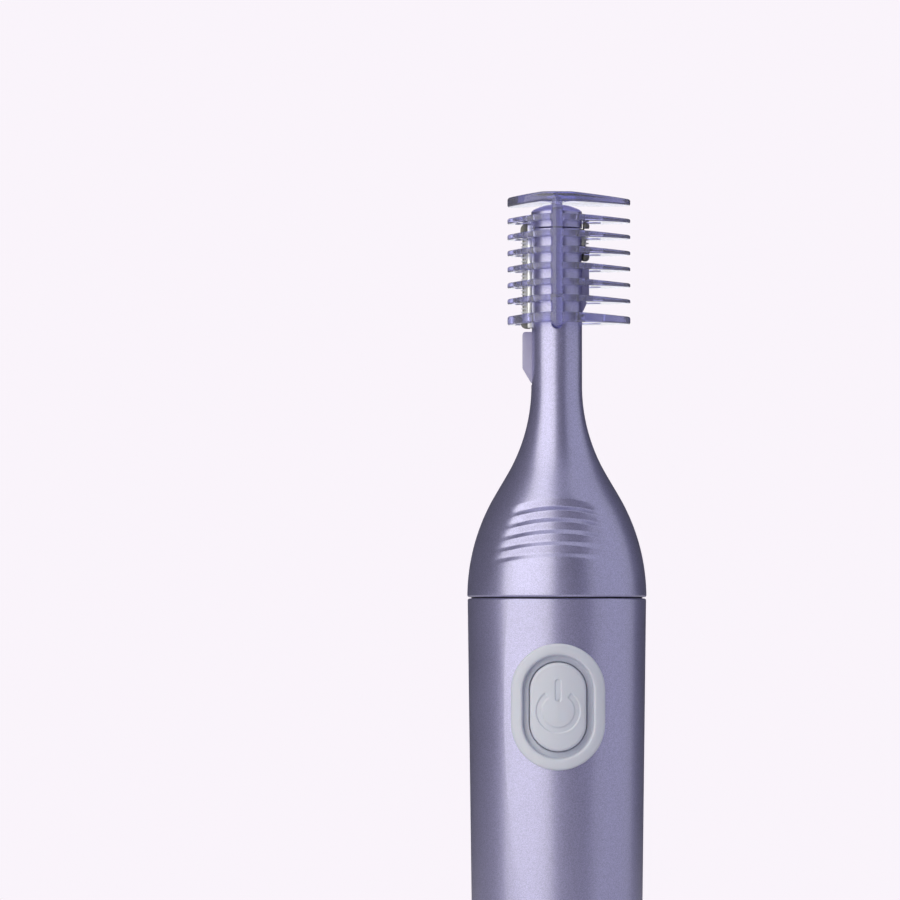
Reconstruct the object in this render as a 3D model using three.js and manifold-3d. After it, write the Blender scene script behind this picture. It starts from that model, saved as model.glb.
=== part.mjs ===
// A slim battery trimmer: one moving drive works a long side blade and a short
// side blade, and a comb guard slides over the head.
// Millimetres, +Z up, the front faces -Y, and z = 0 is the flat base of the battery cap.
import * as THREE from 'three';
import { mergeVertices } from 'three/addons/utils/BufferGeometryUtils.js';
import loadManifold from 'manifold-3d';

const manifold = await loadManifold();
manifold.setup();

// ---- driving dimensions ------------------------------------------------------------
const AROUND = 36;                 // facets around the large turned pieces
const AROUND_SMALL = 18;           // facets around shafts, rings and bushes
const GAP = 0.12;                  // clearance between pieces that meet
const FIT = 0.08;                  // running clearance of shafts and guides

const SEAM_Z = 88;                 // where the neck meets the body
const CAP_Z = 16;                  // where the battery cap meets the body
const BODY_R = 13.45;              // body radius at the seam
const BODY_TAPER = 0.013;          // body radius lost per millimetre of height
const BASE_FILLET = 4;
const WALL = 1.4;
const NECK_WALL = 1.3;
const STUB = [10.7, 11.9];         // radii of the body's collar inside the neck
const STUB_TOP = 91.5;
const SEAL_Z = 89.8;

const FACET_HALF = 8.0;            // half width of the flattened front of the body
const FACET_TALL = 39;             // half height of that flat
const FACET_Z = 72.5;
const FACET_FLATNESS = 1.13;       // its radius over the body radius

const NECK_R = 13.5;
const SHOULDER_R = 30.2;           // convex arc of the neck
const WAIST_R = 26.5;              // concave arc of the neck
const NECK_SLOPE = THREE.MathUtils.degToRad(30.5);
const NECK_STRAIGHT = 3.6;
const BARREL_R = 3.83;
const BARREL_BORE = 2.75;
const END_CAP_Z = 143.6;
const PLUG_DEPTH = 0.35;           // the end cap's plug stops clear of the short blade's tab
const SHOULDER_Z = 146.3;          // where the dome of the end cap starts
const HEAD_TOP_Z = 147.3;

const GRIP_COUNT = 5;
const GRIP_FIRST = 6.8;            // height of the lowest groove above the seam
const GRIP_PITCH = 1.75;
const GRIP_ARCH = 1.4;             // how far the ends of a groove sit below its middle
const GRIP_DEPTH = 0.35;
const GRIP_HALF = [9.2, 7.0];      // half length of the lowest and the highest groove

const RAIL_WIDTH = 1.8;            // groove that guides the comb guard
const RAIL_DEPTH = 0.5;
const RAIL_Z = 128.3;
const SLOT_HALF = 0.82;            // half width of the blade slots in the barrel
const BLADE_HALF = 0.7;            // half thickness of holders and fins

const LONG = { side: -1, low: 128.5, high: 144.4, outer: 5.45, end: 1.5, teeth: 23, pitch: 0.55 };
const SHORT = { side: 1, low: 138.7, high: 144.6, outer: 4.95, end: 0.95, teeth: 6, pitch: 0.57 };
const LEFT_FIN = { side: -1, low: 120.3, high: 128.0, outer: 5.16 };
const RIGHT_FIN = { side: 1, low: 130.8, high: 138.3, outer: 4.9 };
const STROKE = 0.5;                // the moving blades travel this far each way

const BUTTON_Z = 71.7;
const BEZEL = [14.0, 18.8];          // widths and heights of the ovals round the button
const MOAT = [10.4, 15.1];
const PAD = [8.4, 13.2];
const FLANGE = [9.6, 14.4];
const BEZEL_PROUD = 0.35;
const MOAT_DEPTH = 1.1;
const BEZEL_DEPTH = 2.2;
const FRONT = [-20, -6];           // from ahead of the body's front to well inside it

const MOTOR_Y = 2.9;
const MOTOR_R = 6.0;
const MOTOR_Z = [66, 85.8];
const SHAFT_R = 0.75;
const CAM_OFFSET = 0.73;
const PIVOT = { x: -5.5, z: 98 };  // pin of the rocker lever
const CHASSIS_R = 10.3;
const LOW_PLATE = [60.5, 61.7];    // plates of the chassis under and over the motor
const HIGH_PLATE = [86.0, 87.2];
const SCREW_PLACES = [[-8.4, 1.4], [8.2, 2.0]];
const CELL_R = 7.1;                // AA cell
const CELL_Z = 9.3;
const CELL_LENGTH = 50.5;
const SLEEVE = [7.45, 8.6];

const COMB_PITCH = 2.43;
const COMB_FINS = 6;               // the thin fins between the roof and the foot
const COMB_FOOT_Z = 129.2;
const COMB_LEFT = -7.45;
const COMB_RIGHT = 11.15;
const COMB_HALF_DEPTH = 5.7;
const ROOF_Z = 147.6;
const COMB_TOP_Z = 149;

// ---- materials ---------------------------------------------------------------------
function finish(color, roughness, metalness, opacity = 1) {
  return new THREE.MeshStandardMaterial({ color, roughness, metalness, opacity, transparent: opacity < 1 });
}

const PAINT = () => finish(0x9a97c4, 0.32, 0.6);
const PLASTIC = () => finish(0x9c97bf, 0.5, 0.0);
const SOFT = () => finish(0xc3cad2, 0.6, 0.0);
const STEEL = () => finish(0xc8c8c8, 0.25, 1.0);
const DARK = () => finish(0x55555c, 0.5, 0.2);
const WHITE = () => finish(0xd8d8d4, 0.6, 0.0);
const BRASS = () => finish(0xc9a04a, 0.35, 1.0);
const BLACK = () => finish(0x222225, 0.6, 0.0);

// ---- solids ------------------------------------------------------------------------
function toSolid(geometry) {
  const bare = geometry.clone();
  bare.deleteAttribute('normal');
  bare.deleteAttribute('uv');
  const welded = mergeVertices(bare, 1e-4);
  const points = welded.attributes.position.array;
  const mesh = new manifold.Mesh({
    numProp: 3,
    vertProperties: new Float32Array(points),
    triVerts: new Uint32Array(welded.index.array),
  });
  mesh.merge();
  return new manifold.Manifold(mesh);
}

function fromSolid(solid) {
  const mesh = solid.getMesh();
  const geometry = new THREE.BufferGeometry();
  geometry.setAttribute('position', new THREE.BufferAttribute(new Float32Array(mesh.vertProperties), 3));
  geometry.setIndex(new THREE.BufferAttribute(new Uint32Array(mesh.triVerts), 1));
  return geometry;
}

function join(first, ...others) {
  return fromSolid(others.reduce((solid, other) => solid.add(toSolid(other)), toSolid(first)));
}

function cut(first, ...tools) {
  return fromSolid(tools.reduce((solid, tool) => solid.subtract(toSolid(tool)), toSolid(first)));
}

function common(first, second) {
  return fromSolid(toSolid(first).intersect(toSolid(second)));
}

function facingOut(geometry) {
  const points = geometry.attributes.position;
  const index = geometry.index;
  const a = new THREE.Vector3();
  const b = new THREE.Vector3();
  const c = new THREE.Vector3();
  let volume = 0;
  for (let i = 0; i < index.count; i += 3) {
    a.fromBufferAttribute(points, index.getX(i));
    b.fromBufferAttribute(points, index.getX(i + 1));
    c.fromBufferAttribute(points, index.getX(i + 2));
    volume += a.dot(b.cross(c));
  }
  if (volume < 0) {
    for (let i = 0; i < index.count; i += 3) {
      const first = index.getX(i);
      index.setX(i, index.getX(i + 2));
      index.setX(i + 2, first);
    }
  }
  return geometry;
}

// A profile of [radius, z] pairs turned about the Z axis.
function turned(profile, around = AROUND_SMALL, x = 0, y = 0) {
  const points = profile.map(([r, z]) => new THREE.Vector2(r, z));
  const geometry = new THREE.LatheGeometry(points, around);
  geometry.deleteAttribute('normal');
  geometry.deleteAttribute('uv');
  const welded = facingOut(mergeVertices(geometry, 1e-4));
  return welded.rotateX(Math.PI / 2).translate(x, y, 0);
}

function drum(radius, low, high, around = AROUND_SMALL, x = 0, y = 0) {
  return turned([[0, low], [radius, low], [radius, high], [0, high]], around, x, y);
}

function ring(inner, outer, low, high, around = AROUND_SMALL, x = 0, y = 0) {
  return turned([[inner, low], [outer, low], [outer, high], [inner, high], [inner, low]], around, x, y);
}

function box(x, y, z) {
  const geometry = new THREE.BoxGeometry(x[1] - x[0], y[1] - y[0], z[1] - z[0]);
  return geometry.translate((x[0] + x[1]) / 2, (y[0] + y[1]) / 2, (z[0] + z[1]) / 2);
}

// A rod along Y.
function crossRod(radius, x, z, low, high, around = 16) {
  const geometry = new THREE.CylinderGeometry(radius, radius, high - low, around);
  return geometry.translate(x, (low + high) / 2, z);
}

// A flat outline in X and Z, given a thickness along Y.
function slab(shape, low, high, curve = 6) {
  const settings = { depth: high - low, bevelEnabled: false, curveSegments: curve };
  return new THREE.ExtrudeGeometry(shape, settings).rotateX(Math.PI / 2).translate(0, high, 0);
}

function outline(points) {
  return new THREE.Shape(points.map(([x, z]) => new THREE.Vector2(x, z)));
}

// An upright oval: a slot shape as wide and as tall as it says.
function oval([width, height], grow = 0) {
  const r = width / 2 + grow;
  const straight = (height - width) / 2;
  const shape = new THREE.Shape();
  shape.absarc(0, BUTTON_Z + straight, r, 0, Math.PI);
  shape.absarc(0, BUTTON_Z - straight, r, Math.PI, 2 * Math.PI);
  return shape;
}

function ovalPrism(size, low, high, grow = 0) {
  return slab(oval(size, grow), low, high, 8);
}

function moved(geometry, place) {
  const points = geometry.attributes.position;
  const point = new THREE.Vector3();
  for (let i = 0; i < points.count; i += 1) {
    place(point.fromBufferAttribute(points, i));
    points.setXYZ(i, point.x, point.y, point.z);
  }
  return geometry;
}

// ---- the outer form ----------------------------------------------------------------
function bodyRadius(z) {
  return BODY_R - BODY_TAPER * (SEAM_Z - z);
}

function neckRadius(height) {
  const shoulderRise = SHOULDER_R * Math.sin(NECK_SLOPE);
  const straightRise = NECK_STRAIGHT * Math.cos(NECK_SLOPE);
  const waistRise = WAIST_R * Math.sin(NECK_SLOPE);
  if (height < shoulderRise) {
    return NECK_R - SHOULDER_R + Math.sqrt(SHOULDER_R ** 2 - height ** 2);
  }
  if (height < shoulderRise + straightRise) {
    const start = NECK_R - SHOULDER_R * (1 - Math.cos(NECK_SLOPE));
    return start - (height - shoulderRise) * Math.tan(NECK_SLOPE);
  }
  const below = Math.max(shoulderRise + straightRise + waistRise - height, 0);
  return BARREL_R + WAIST_R - Math.sqrt(WAIST_R ** 2 - below ** 2);
}

// The body is round, but its front is flattened inside a tall ellipse.
function flattenFront(point, grow) {
  const radius = bodyRadius(point.z) + grow;
  const reach = 1 - ((point.z - FACET_Z) / FACET_TALL) ** 2;
  if (reach <= 0 || point.y >= 0) {
    return;
  }
  const half = FACET_HALF * Math.sqrt(reach);
  const own = Math.hypot(point.x, point.y);
  if (own < radius - 1e-3 || Math.abs(point.x) >= half) {
    return;
  }
  const flat = FACET_FLATNESS * radius;
  const edge = Math.sqrt(radius ** 2 - half ** 2) - Math.sqrt(flat ** 2 - half ** 2);
  point.y = -(edge + Math.sqrt(flat ** 2 - point.x ** 2));
}

function bodyForm(low, high, grow) {
  const rows = Math.round((high - low) / 6);
  const profile = [[0, low]];
  for (let i = 0; i <= rows; i += 1) {
    const z = low + (high - low) * i / rows;
    profile.push([bodyRadius(z) + grow, z]);
  }
  profile.push([0, high]);
  return moved(turned(profile, AROUND), (point) => flattenFront(point, grow));
}

// The slice of the button region between two depths under the body's surface.
function frontShell(size, sizeGrow, proud, depth) {
  const low = BUTTON_Z - 12;
  const high = BUTTON_Z + 12;
  const outer = common(bodyForm(low, high, proud), ovalPrism(size, ...FRONT, sizeGrow));
  return depth === null ? outer : cut(outer, bodyForm(low - 1, high + 1, -depth));
}

function gripDepth(x, height) {
  const along = (height + GRIP_ARCH * (x / GRIP_HALF[0]) ** 2 - GRIP_FIRST) / GRIP_PITCH;
  const index = Math.round(along);
  if (index < 0 || index >= GRIP_COUNT) {
    return 0;
  }
  const half = THREE.MathUtils.lerp(GRIP_HALF[0], GRIP_HALF[1], index / (GRIP_COUNT - 1));
  const fade = 1 - THREE.MathUtils.smoothstep(Math.abs(x), half - 2, half);
  return GRIP_DEPTH * fade * (0.5 + 0.5 * Math.cos(2 * Math.PI * (along - index)));
}

// ---- handle shells -----------------------------------------------------------------
function neckHousing() {
  const barrelStart = 32;
  const outerHeights = [0, 2, 4];
  for (let height = 5.6; height < 16.4; height += GRIP_PITCH / 4) {
    outerHeights.push(height);
  }
  for (let height = 18.5; height <= barrelStart; height += 2.7) {
    outerHeights.push(height);
  }
  const top = END_CAP_Z - GAP / 2 - SEAM_Z;
  const outer = [[0, SEAM_Z]];
  outerHeights.forEach((height) => outer.push([neckRadius(height), SEAM_Z + height]));
  outer.push([BARREL_R, SEAM_Z + top], [0, SEAM_Z + top]);
  const shell = moved(turned(outer, AROUND), (point) => {
    const own = Math.hypot(point.x, point.y);
    if (point.y < 0 && own > BARREL_R + 1) {
      const keep = 1 - gripDepth(point.x, point.z - SEAM_Z) / own;
      point.x *= keep;
      point.y *= keep;
    }
  });
  const inner = [[0, SEAM_Z - 1], [NECK_R - NECK_WALL, SEAM_Z - 1]];
  for (let height = 0; height <= 28; height += 4) {
    inner.push([Math.max(neckRadius(height) - NECK_WALL, BARREL_BORE), SEAM_Z + height]);
  }
  inner.push([BARREL_BORE, SEAM_Z + barrelStart], [BARREL_BORE, HEAD_TOP_Z], [0, HEAD_TOP_Z]);
  return cut(shell, turned(inner, AROUND), ...rails(), bladeSlot(LEFT_FIN), bladeSlot(RIGHT_FIN));
}

function rails() {
  const half = RAIL_WIDTH / 2;
  const groove = new THREE.Shape();
  groove.moveTo(half, HEAD_TOP_Z - 0.6);
  groove.lineTo(-half, HEAD_TOP_Z - 0.6);
  groove.lineTo(-half, RAIL_Z + half);
  groove.absarc(0, RAIL_Z + half, half, Math.PI, 2 * Math.PI);
  const floor = BARREL_R - RAIL_DEPTH;
  return [slab(groove, -BARREL_R - 1, -floor), slab(groove, floor, BARREL_R + 1)];
}

function bladeSlot(fin) {
  const x = [fin.side * (BARREL_BORE - 1), fin.side * (BARREL_R + 1)].sort((a, b) => a - b);
  return box(x, [-SLOT_HALF, SLOT_HALF], [fin.low - GAP, HEAD_TOP_Z]);
}

function headEndCap() {
  const profile = [[0, END_CAP_Z - PLUG_DEPTH], [BARREL_BORE - GAP, END_CAP_Z - PLUG_DEPTH]];
  profile.push([BARREL_BORE - GAP, END_CAP_Z + GAP / 2], [BARREL_R, END_CAP_Z + GAP / 2]);
  profile.push([BARREL_R, SHOULDER_Z], [BARREL_R - 0.35, SHOULDER_Z + 0.45]);
  profile.push([BARREL_R - 1.4, HEAD_TOP_Z - 0.2], [0, HEAD_TOP_Z]);
  return cut(turned(profile, AROUND), ...rails());
}

function bodyHousing() {
  const low = CAP_Z + GAP;
  const high = SEAM_Z - GAP;
  const [inner, outer] = STUB;
  const sealSeat = outer - 0.7;
  const stub = turned([
    [inner, SEAM_Z - 4], [outer, SEAM_Z - 4], [outer, SEAL_Z - 0.6], [sealSeat, SEAL_Z - 0.6],
    [sealSeat, SEAL_Z + 0.6], [outer, SEAL_Z + 0.6], [outer, STUB_TOP], [inner, STUB_TOP], [inner, SEAM_Z - 4],
  ], AROUND);
  const hollow = turned([
    [0, low - 1], [10.75, low - 1], [10.75, CAP_Z + 3], [11.4, CAP_Z + 3], [11.4, CAP_Z + 6.6],
    [bodyRadius(24) - WALL, 24], [bodyRadius(84) - WALL, SEAM_Z - 4], [inner, SEAM_Z - 4],
    [inner, STUB_TOP + 1], [0, STUB_TOP + 1],
  ], AROUND);
  const notches = [0, Math.PI].map((turn) => {
    const notch = box([9, 11.4], [-2.7, 2.7], [low - 1, CAP_Z + 3.2]);
    return notch.rotateZ(turn + THREE.MathUtils.degToRad(40));
  });
  const stops = [0, Math.PI].map((turn) => {
    const stop = box([11.0, 12.0], [-0.8, 0.8], [CAP_Z + 2.9, CAP_Z + 6]);
    return stop.rotateZ(turn - THREE.MathUtils.degToRad(17));
  });
  const shell = cut(join(bodyForm(low, high, 0), stub), hollow, ...notches, ovalPrism(BEZEL, ...FRONT, GAP));
  return join(shell, ...stops);
}

function neckSealRing() {
  const ringGeometry = new THREE.TorusGeometry(11.65, 0.38, 6, AROUND);
  return ringGeometry.translate(0, 0, SEAL_Z);
}

// ---- button and switch -------------------------------------------------------------
function buttonBezel() {
  const rim = cut(frontShell(BEZEL, 0, BEZEL_PROUD, BEZEL_DEPTH), ovalPrism(MOAT, ...FRONT));
  const floor = frontShell(MOAT, 0.2, -MOAT_DEPTH, BEZEL_DEPTH);
  return cut(join(rim, floor), ovalPrism(PAD, ...FRONT, 0.2));
}

function powerButton() {
  const pad = common(frontShell(PAD, 0, 0.1, null), box([-9, 9], [-20, -9.2], [60, 84]));
  const flange = ovalPrism(FLANGE, -9.35, -8.8);
  const symbolRing = cut(
    crossRod(3.4, 0, BUTTON_Z - 0.6, -20, -11, 28),
    crossRod(2.4, 0, BUTTON_Z - 0.6, -21, -10, 28),
    slab(outline([[0, BUTTON_Z - 0.6], [3.2, BUTTON_Z + 4.4], [-3.2, BUTTON_Z + 4.4]]), -21, -10),
  );
  const symbolBar = box([-0.55, 0.55], [-20, -11], [BUTTON_Z + 0.8, BUTTON_Z + 4.1]);
  const raised = bodyForm(BUTTON_Z - 12, BUTTON_Z + 12, 0.3);
  return join(pad, flange, common(symbolRing, raised), common(symbolBar, raised));
}

function switchBoard() {
  return box([-6.5, 6.5], [-5.75, -4.75], [62, 85.7]);
}

function switchBody() {
  const housing = box([-2.7, 2.7], [-7.8, -5.9], [BUTTON_Z - 2.7, BUTTON_Z + 2.7]);
  return cut(housing, crossRod(1.1 + FIT, 0, BUTTON_Z, -9, -6.2, 20));
}

function switchPlunger() {
  return crossRod(1.1, 0, BUTTON_Z, -8.7, -7.1, 20);
}

// ---- motor and chassis -------------------------------------------------------------
function chassis() {
  const [low, high] = [LOW_PLATE[0], HIGH_PLATE[1]];
  const plateLow = ring(1.2, CHASSIS_R, ...LOW_PLATE, AROUND);
  const plateHigh = drum(CHASSIS_R, ...HIGH_PLATE, AROUND);
  const wall = ring(CHASSIS_R - 1.1, CHASSIS_R, low, high, AROUND);
  const back = common(wall, box([-12, 12], [2.5, 12], [low - 1, high + 1]));
  return cut(
    join(plateLow, plateHigh, back),
    drum(2.3, 85, 88, AROUND_SMALL, 0, MOTOR_Y),
    box([-1.4, 1.4], [-7.2, -6.4], [60, 62]),
    box([8.6, 9.3], [-1.7, 1.7], [60, 62]),
    ...SCREW_PLACES.map(([x, y]) => drum(0.95, 85, 88, 12, x, y)),
  );
}

function bracketScrew([x, y]) {
  const profile = [[0, 81], [0.8, 82], [0.8, 88.9], [1.6, 88.9], [1.6, 89.7], [1.2, 90.1], [0, 90.1]];
  const screw = turned(profile, 16, x, y);
  return cut(screw, box([x - 1.0, x + 1.0], [y - 0.2, y + 0.2], [89.6, 91]));
}

function motorCan() {
  const [low, high] = MOTOR_Z;
  const profile = [[5.4, low], [MOTOR_R, low], [MOTOR_R, high - 0.4], [MOTOR_R - 0.4, high]];
  profile.push([2.0, high], [2.0, high - 0.7], [5.4, high - 0.7], [5.4, low]);
  return turned(profile, 32, 0, MOTOR_Y);
}

function motorEndBell() {
  const bell = drum(5.3, 65.0, 67.2, 32, 0, MOTOR_Y);
  return cut(bell, ...[-2.5, 2.5].map((x) => box([x - 0.8, x + 0.8], [2.6, 3.2], [64, 68])));
}

function motorTerminal(x) {
  return box([x - 0.7, x + 0.7], [2.7, 3.1], [62.4, 66.8]);
}

function motorArmature() {
  const core = ring(SHAFT_R + 0.05, 3.7, 70, 81.5, AROUND_SMALL, 0, MOTOR_Y);
  const gaps = [0, 1, 2].map((i) => {
    const gap = box([1.9, 4.5], [-0.45, 0.45], [69, 83]);
    return gap.rotateZ(i * 2 * Math.PI / 3 + Math.PI / 2).translate(0, MOTOR_Y, 0);
  });
  return cut(core, ...gaps);
}

function eccentricCam() {
  const disc = drum(2.4, 87.7, 89.1, AROUND_SMALL, 0, MOTOR_Y);
  const pin = drum(0.6, 89.0, 92.3, 16, 0, MOTOR_Y + CAM_OFFSET);
  return cut(join(disc, pin), drum(SHAFT_R + 0.05, 87, 88.7, AROUND_SMALL, 0, MOTOR_Y));
}

class WirePath extends THREE.CatmullRomCurve3 {
  constructor(side) {
    super([
      new THREE.Vector3(side * 3.4, -4.0, 72),
      new THREE.Vector3(side * 3.4, -3.9, 67.5),
      new THREE.Vector3(side * 3.2, -3.4, 64.4),
      new THREE.Vector3(side * 2.7, -0.6, 62.9),
      new THREE.Vector3(side * 2.5, 2.0, 63.3),
    ]);
  }
}

function motorWire(side) {
  const section = new THREE.Shape();
  section.absarc(0, 0, 0.42, 0, 2 * Math.PI);
  const settings = { steps: 14, curveSegments: 4, bevelEnabled: false, extrudePath: new WirePath(side) };
  return new THREE.ExtrudeGeometry(section, settings);
}

// ---- the drive ---------------------------------------------------------------------
function rockerBracket() {
  const base = drum(10.2, 87.5, 88.7, AROUND);
  const ears = [[-2.9, -1.4], [4.5, 5.9]].map(([low, high]) => {
    const shape = new THREE.Shape();
    shape.moveTo(PIVOT.x + 1.7, 88.2);
    shape.absarc(PIVOT.x, PIVOT.z, 1.7, 0, Math.PI);
    shape.lineTo(PIVOT.x - 1.7, 88.2);
    return slab(shape, low, high, 8);
  });
  return cut(
    join(base, ...ears),
    drum(3.0, 87, 89.5, AROUND_SMALL, 0, MOTOR_Y),
    crossRod(0.72 + 0.05, PIVOT.x, PIVOT.z, -4, 7, 16),
    ...SCREW_PLACES.map(([x, y]) => drum(0.95, 87, 89, 12, x, y)),
  );
}

function rockerPin() {
  return crossRod(0.72, PIVOT.x, PIVOT.z, -3.2, 6.3, 16);
}

function rockerLever() {
  const hub = crossRod(1.9, PIVOT.x, PIVOT.z, -1.0, 4.1, AROUND_SMALL);
  const arm = box([PIVOT.x, -0.3], [-1, 1], [PIVOT.z - 0.7, PIVOT.z + 0.7]);
  const nose = crossRod(0.95, 0, PIVOT.z, -1, 1, 16);
  const lowerArm = slab(outline([
    [PIVOT.x - 1.4, 96.7], [-3.4, 93.2], [3.2, 93.2], [3.2, 94.4], [-2.2, 94.4], [PIVOT.x + 1.6, 98.6],
  ]), 2.1, 4.1);
  const prongs = [[-3.2, -2.2], [2.2, 3.2]].map((x) => box(x, [1.3, 4.5], [90.2, 94.4]));
  return cut(join(hub, arm, nose, lowerArm, ...prongs), crossRod(0.8, PIVOT.x, PIVOT.z, -2, 5, 16));
}

function driveRod() {
  const rod = drum(1.15, 99, 142.2);
  const head = box([-1.9, 1.9], [-1.9, 1.9], [95.6, 100.4]);
  const window = box([-3, 3], [-1.25, 1.25], [96.95, 99.05]);
  return cut(join(rod, head), window, tabSpace(LONG, GAP), tabSpace(SHORT, GAP));
}

function rodGuide() {
  return cut(turned([[0, 109], [4.5, 109], [3.4, 112], [0, 112]]), drum(1.15 + FIT, 108, 113));
}

// ---- blades ------------------------------------------------------------------------
function sided(side, near, far) {
  return [side * near, side * far].sort((a, b) => a - b);
}

// The tab that joins a moving blade to the drive rod.
function tabSpace(blade, grow) {
  const middle = (blade.low + blade.high) / 2;
  const half = (blade.high - blade.low) * 0.17;
  return box(sided(blade.side, 0.5 - grow, BARREL_R), [-0.2 - grow, 0.05 + grow],
    [middle - half - grow, middle + half + grow]);
}

function bladeComb(blade, reach, root, low, high, count, pitch, y) {
  const side = blade.side;
  const middle = (low + high) / 2;
  const gum = reach - 0.8;
  const tooth = pitch * 0.27;
  const points = [[side * root, low], [side * gum, low]];
  for (let i = 0; i < count; i += 1) {
    const z = middle + (i - (count - 1) / 2) * pitch;
    points.push([side * gum, z - tooth], [side * reach, z - tooth * 0.6]);
    points.push([side * reach, z + tooth * 0.6], [side * gum, z + tooth]);
  }
  points.push([side * gum, high], [side * root, high]);
  return slab(outline(points), y[0], y[1]);
}

function fixedBlade(blade) {
  const low = blade.low + blade.end + 0.1;
  const high = blade.high - blade.end - 0.1;
  return bladeComb(blade, blade.outer - 0.1, BARREL_BORE + 0.3, low, high, blade.teeth, blade.pitch,
    [-0.62, -0.35]);
}

function movingBlade(blade) {
  const low = blade.low + blade.end + 0.1 + STROKE;
  const high = blade.high - blade.end - 0.1 - STROKE;
  const comb = bladeComb(blade, blade.outer - 0.2, BARREL_R - 0.1, low, high, blade.teeth - 2,
    blade.pitch, [-0.2, 0.05]);
  return join(comb, tabSpace(blade, 0));
}

function bladeHolder(blade) {
  const { side, low, high, outer, end } = blade;
  const root = BARREL_BORE + 0.2;
  const clear = BARREL_R + GAP;
  const spine = box(sided(side, root, clear + 0.2), [-BLADE_HALF, BLADE_HALF], [low, END_CAP_Z - 0.3]);
  const bay = box(sided(side, root - 1, outer + 1), [-1, 0.4], [low + end, high - end]);
  const back = box(sided(side, clear, outer - 0.2), [0.4, BLADE_HALF], [low, high]);
  const ends = [[low, low + end], [high, high - end]].map(([outward, inward]) => {
    const bend = Math.min(end, outer - clear) * 0.8;
    const turn = outward < inward ? bend : -bend;
    const shape = new THREE.Shape();
    shape.moveTo(side * clear, outward);
    shape.lineTo(side * (outer - bend), outward);
    shape.quadraticCurveTo(side * outer, outward, side * outer, outward + turn);
    shape.lineTo(side * outer, inward);
    shape.lineTo(side * clear, inward);
    return slab(shape, -BLADE_HALF, BLADE_HALF, 5);
  });
  return join(cut(spine, bay), back, ...ends);
}

function bladeSpring(blade) {
  const low = blade.low + blade.end + 0.3;
  const high = blade.high - blade.end - 0.3;
  const waves = 4;
  const points = [];
  const returning = [];
  for (let i = 0; i <= waves; i += 1) {
    const z = low + (high - low) * i / waves;
    const y = i % 2 === 0 ? 0.13 : 0.24;
    points.push([y, z]);
    returning.unshift([y + 0.1, z]);
  }
  const strip = slab(outline([...points, ...returning]), 0, 0.5);
  const x = blade.side * (blade.outer - 0.75);
  return strip.rotateZ(Math.PI / 2).translate(x + 0.25, 0, 0);
}

function guideFin({ side, low, high, outer }) {
  const slope = 2.2;
  const shape = outline([
    [side * (BARREL_BORE + 0.2), low], [side * BARREL_R, low], [side * outer, low + slope],
    [side * outer, high - 0.3], [side * (outer - 0.3), high], [side * (BARREL_BORE + 0.2), high],
  ]);
  return slab(shape, -BLADE_HALF, BLADE_HALF);
}

// ---- battery end -------------------------------------------------------------------
function batteryCell() {
  const shoulder = CELL_Z + CELL_LENGTH - 1.5;
  const profile = [[0, CELL_Z], [CELL_R - 0.3, CELL_Z], [CELL_R, CELL_Z + 0.3], [CELL_R, shoulder - 0.4]];
  profile.push([CELL_R - 0.4, shoulder], [2.75, shoulder], [2.75, CELL_Z + CELL_LENGTH]);
  profile.push([0, CELL_Z + CELL_LENGTH]);
  return turned(profile, 32);
}

function positiveContact() {
  const disc = drum(4, 59.95, 60.35);
  const tongue = box([-1.2, 1.2], [-7.0, -3.0], [59.95, 60.35]);
  const tab = box([-1.2, 1.2], [-7.0, -6.6], [59.95, 64]);
  return join(disc, tongue, tab);
}

class ConeHelix extends THREE.Curve {
  getPoint(t, target = new THREE.Vector3()) {
    const turns = 3.5;
    const radius = THREE.MathUtils.lerp(5.6, 3.4, t);
    const angle = 2 * Math.PI * turns * t;
    return target.set(radius * Math.cos(angle), radius * Math.sin(angle), THREE.MathUtils.lerp(5.9, 8.6, t));
  }
}

function negativeSpring() {
  const wire = new THREE.Shape();
  wire.absarc(0, 0, 0.38, 0, 2 * Math.PI);
  const settings = { steps: 49, curveSegments: 3, bevelEnabled: false, extrudePath: new ConeHelix() };
  return new THREE.ExtrudeGeometry(wire, settings);
}

function returnStrip() {
  return box([8.75, 9.15], [-1.4, 1.4], [5.6, 66]);
}

function batteryCap() {
  const edge = bodyRadius(BASE_FILLET);
  const profile = [[0, 0], [edge - BASE_FILLET, 0]];
  for (let i = 1; i <= 5; i += 1) {
    const angle = i * Math.PI / 10;
    profile.push([edge - BASE_FILLET + BASE_FILLET * Math.sin(angle), BASE_FILLET * (1 - Math.cos(angle))]);
  }
  profile.push([bodyRadius(CAP_Z), CAP_Z - GAP], [10.5, CAP_Z - GAP], [10.5, CAP_Z + 6], [9.4, CAP_Z + 6]);
  profile.push([9.4, 4.6], [0, 4.6]);
  const lugs = [0, Math.PI].map((turn) => {
    const lug = common(ring(10.2, 11.25, CAP_Z + 3.3, CAP_Z + 5.3, AROUND), box([9, 12], [-2.2, 2.2], [16, 23]));
    return lug.rotateZ(turn);
  });
  const sealGroove = ring(11.0, 12.0, CAP_Z - 0.9, CAP_Z, AROUND);
  return cut(join(turned(profile, AROUND), ...lugs), sealGroove);
}

function capSealRing() {
  return new THREE.TorusGeometry(11.5, 0.36, 6, AROUND).translate(0, 0, CAP_Z - 0.45);
}

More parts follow.
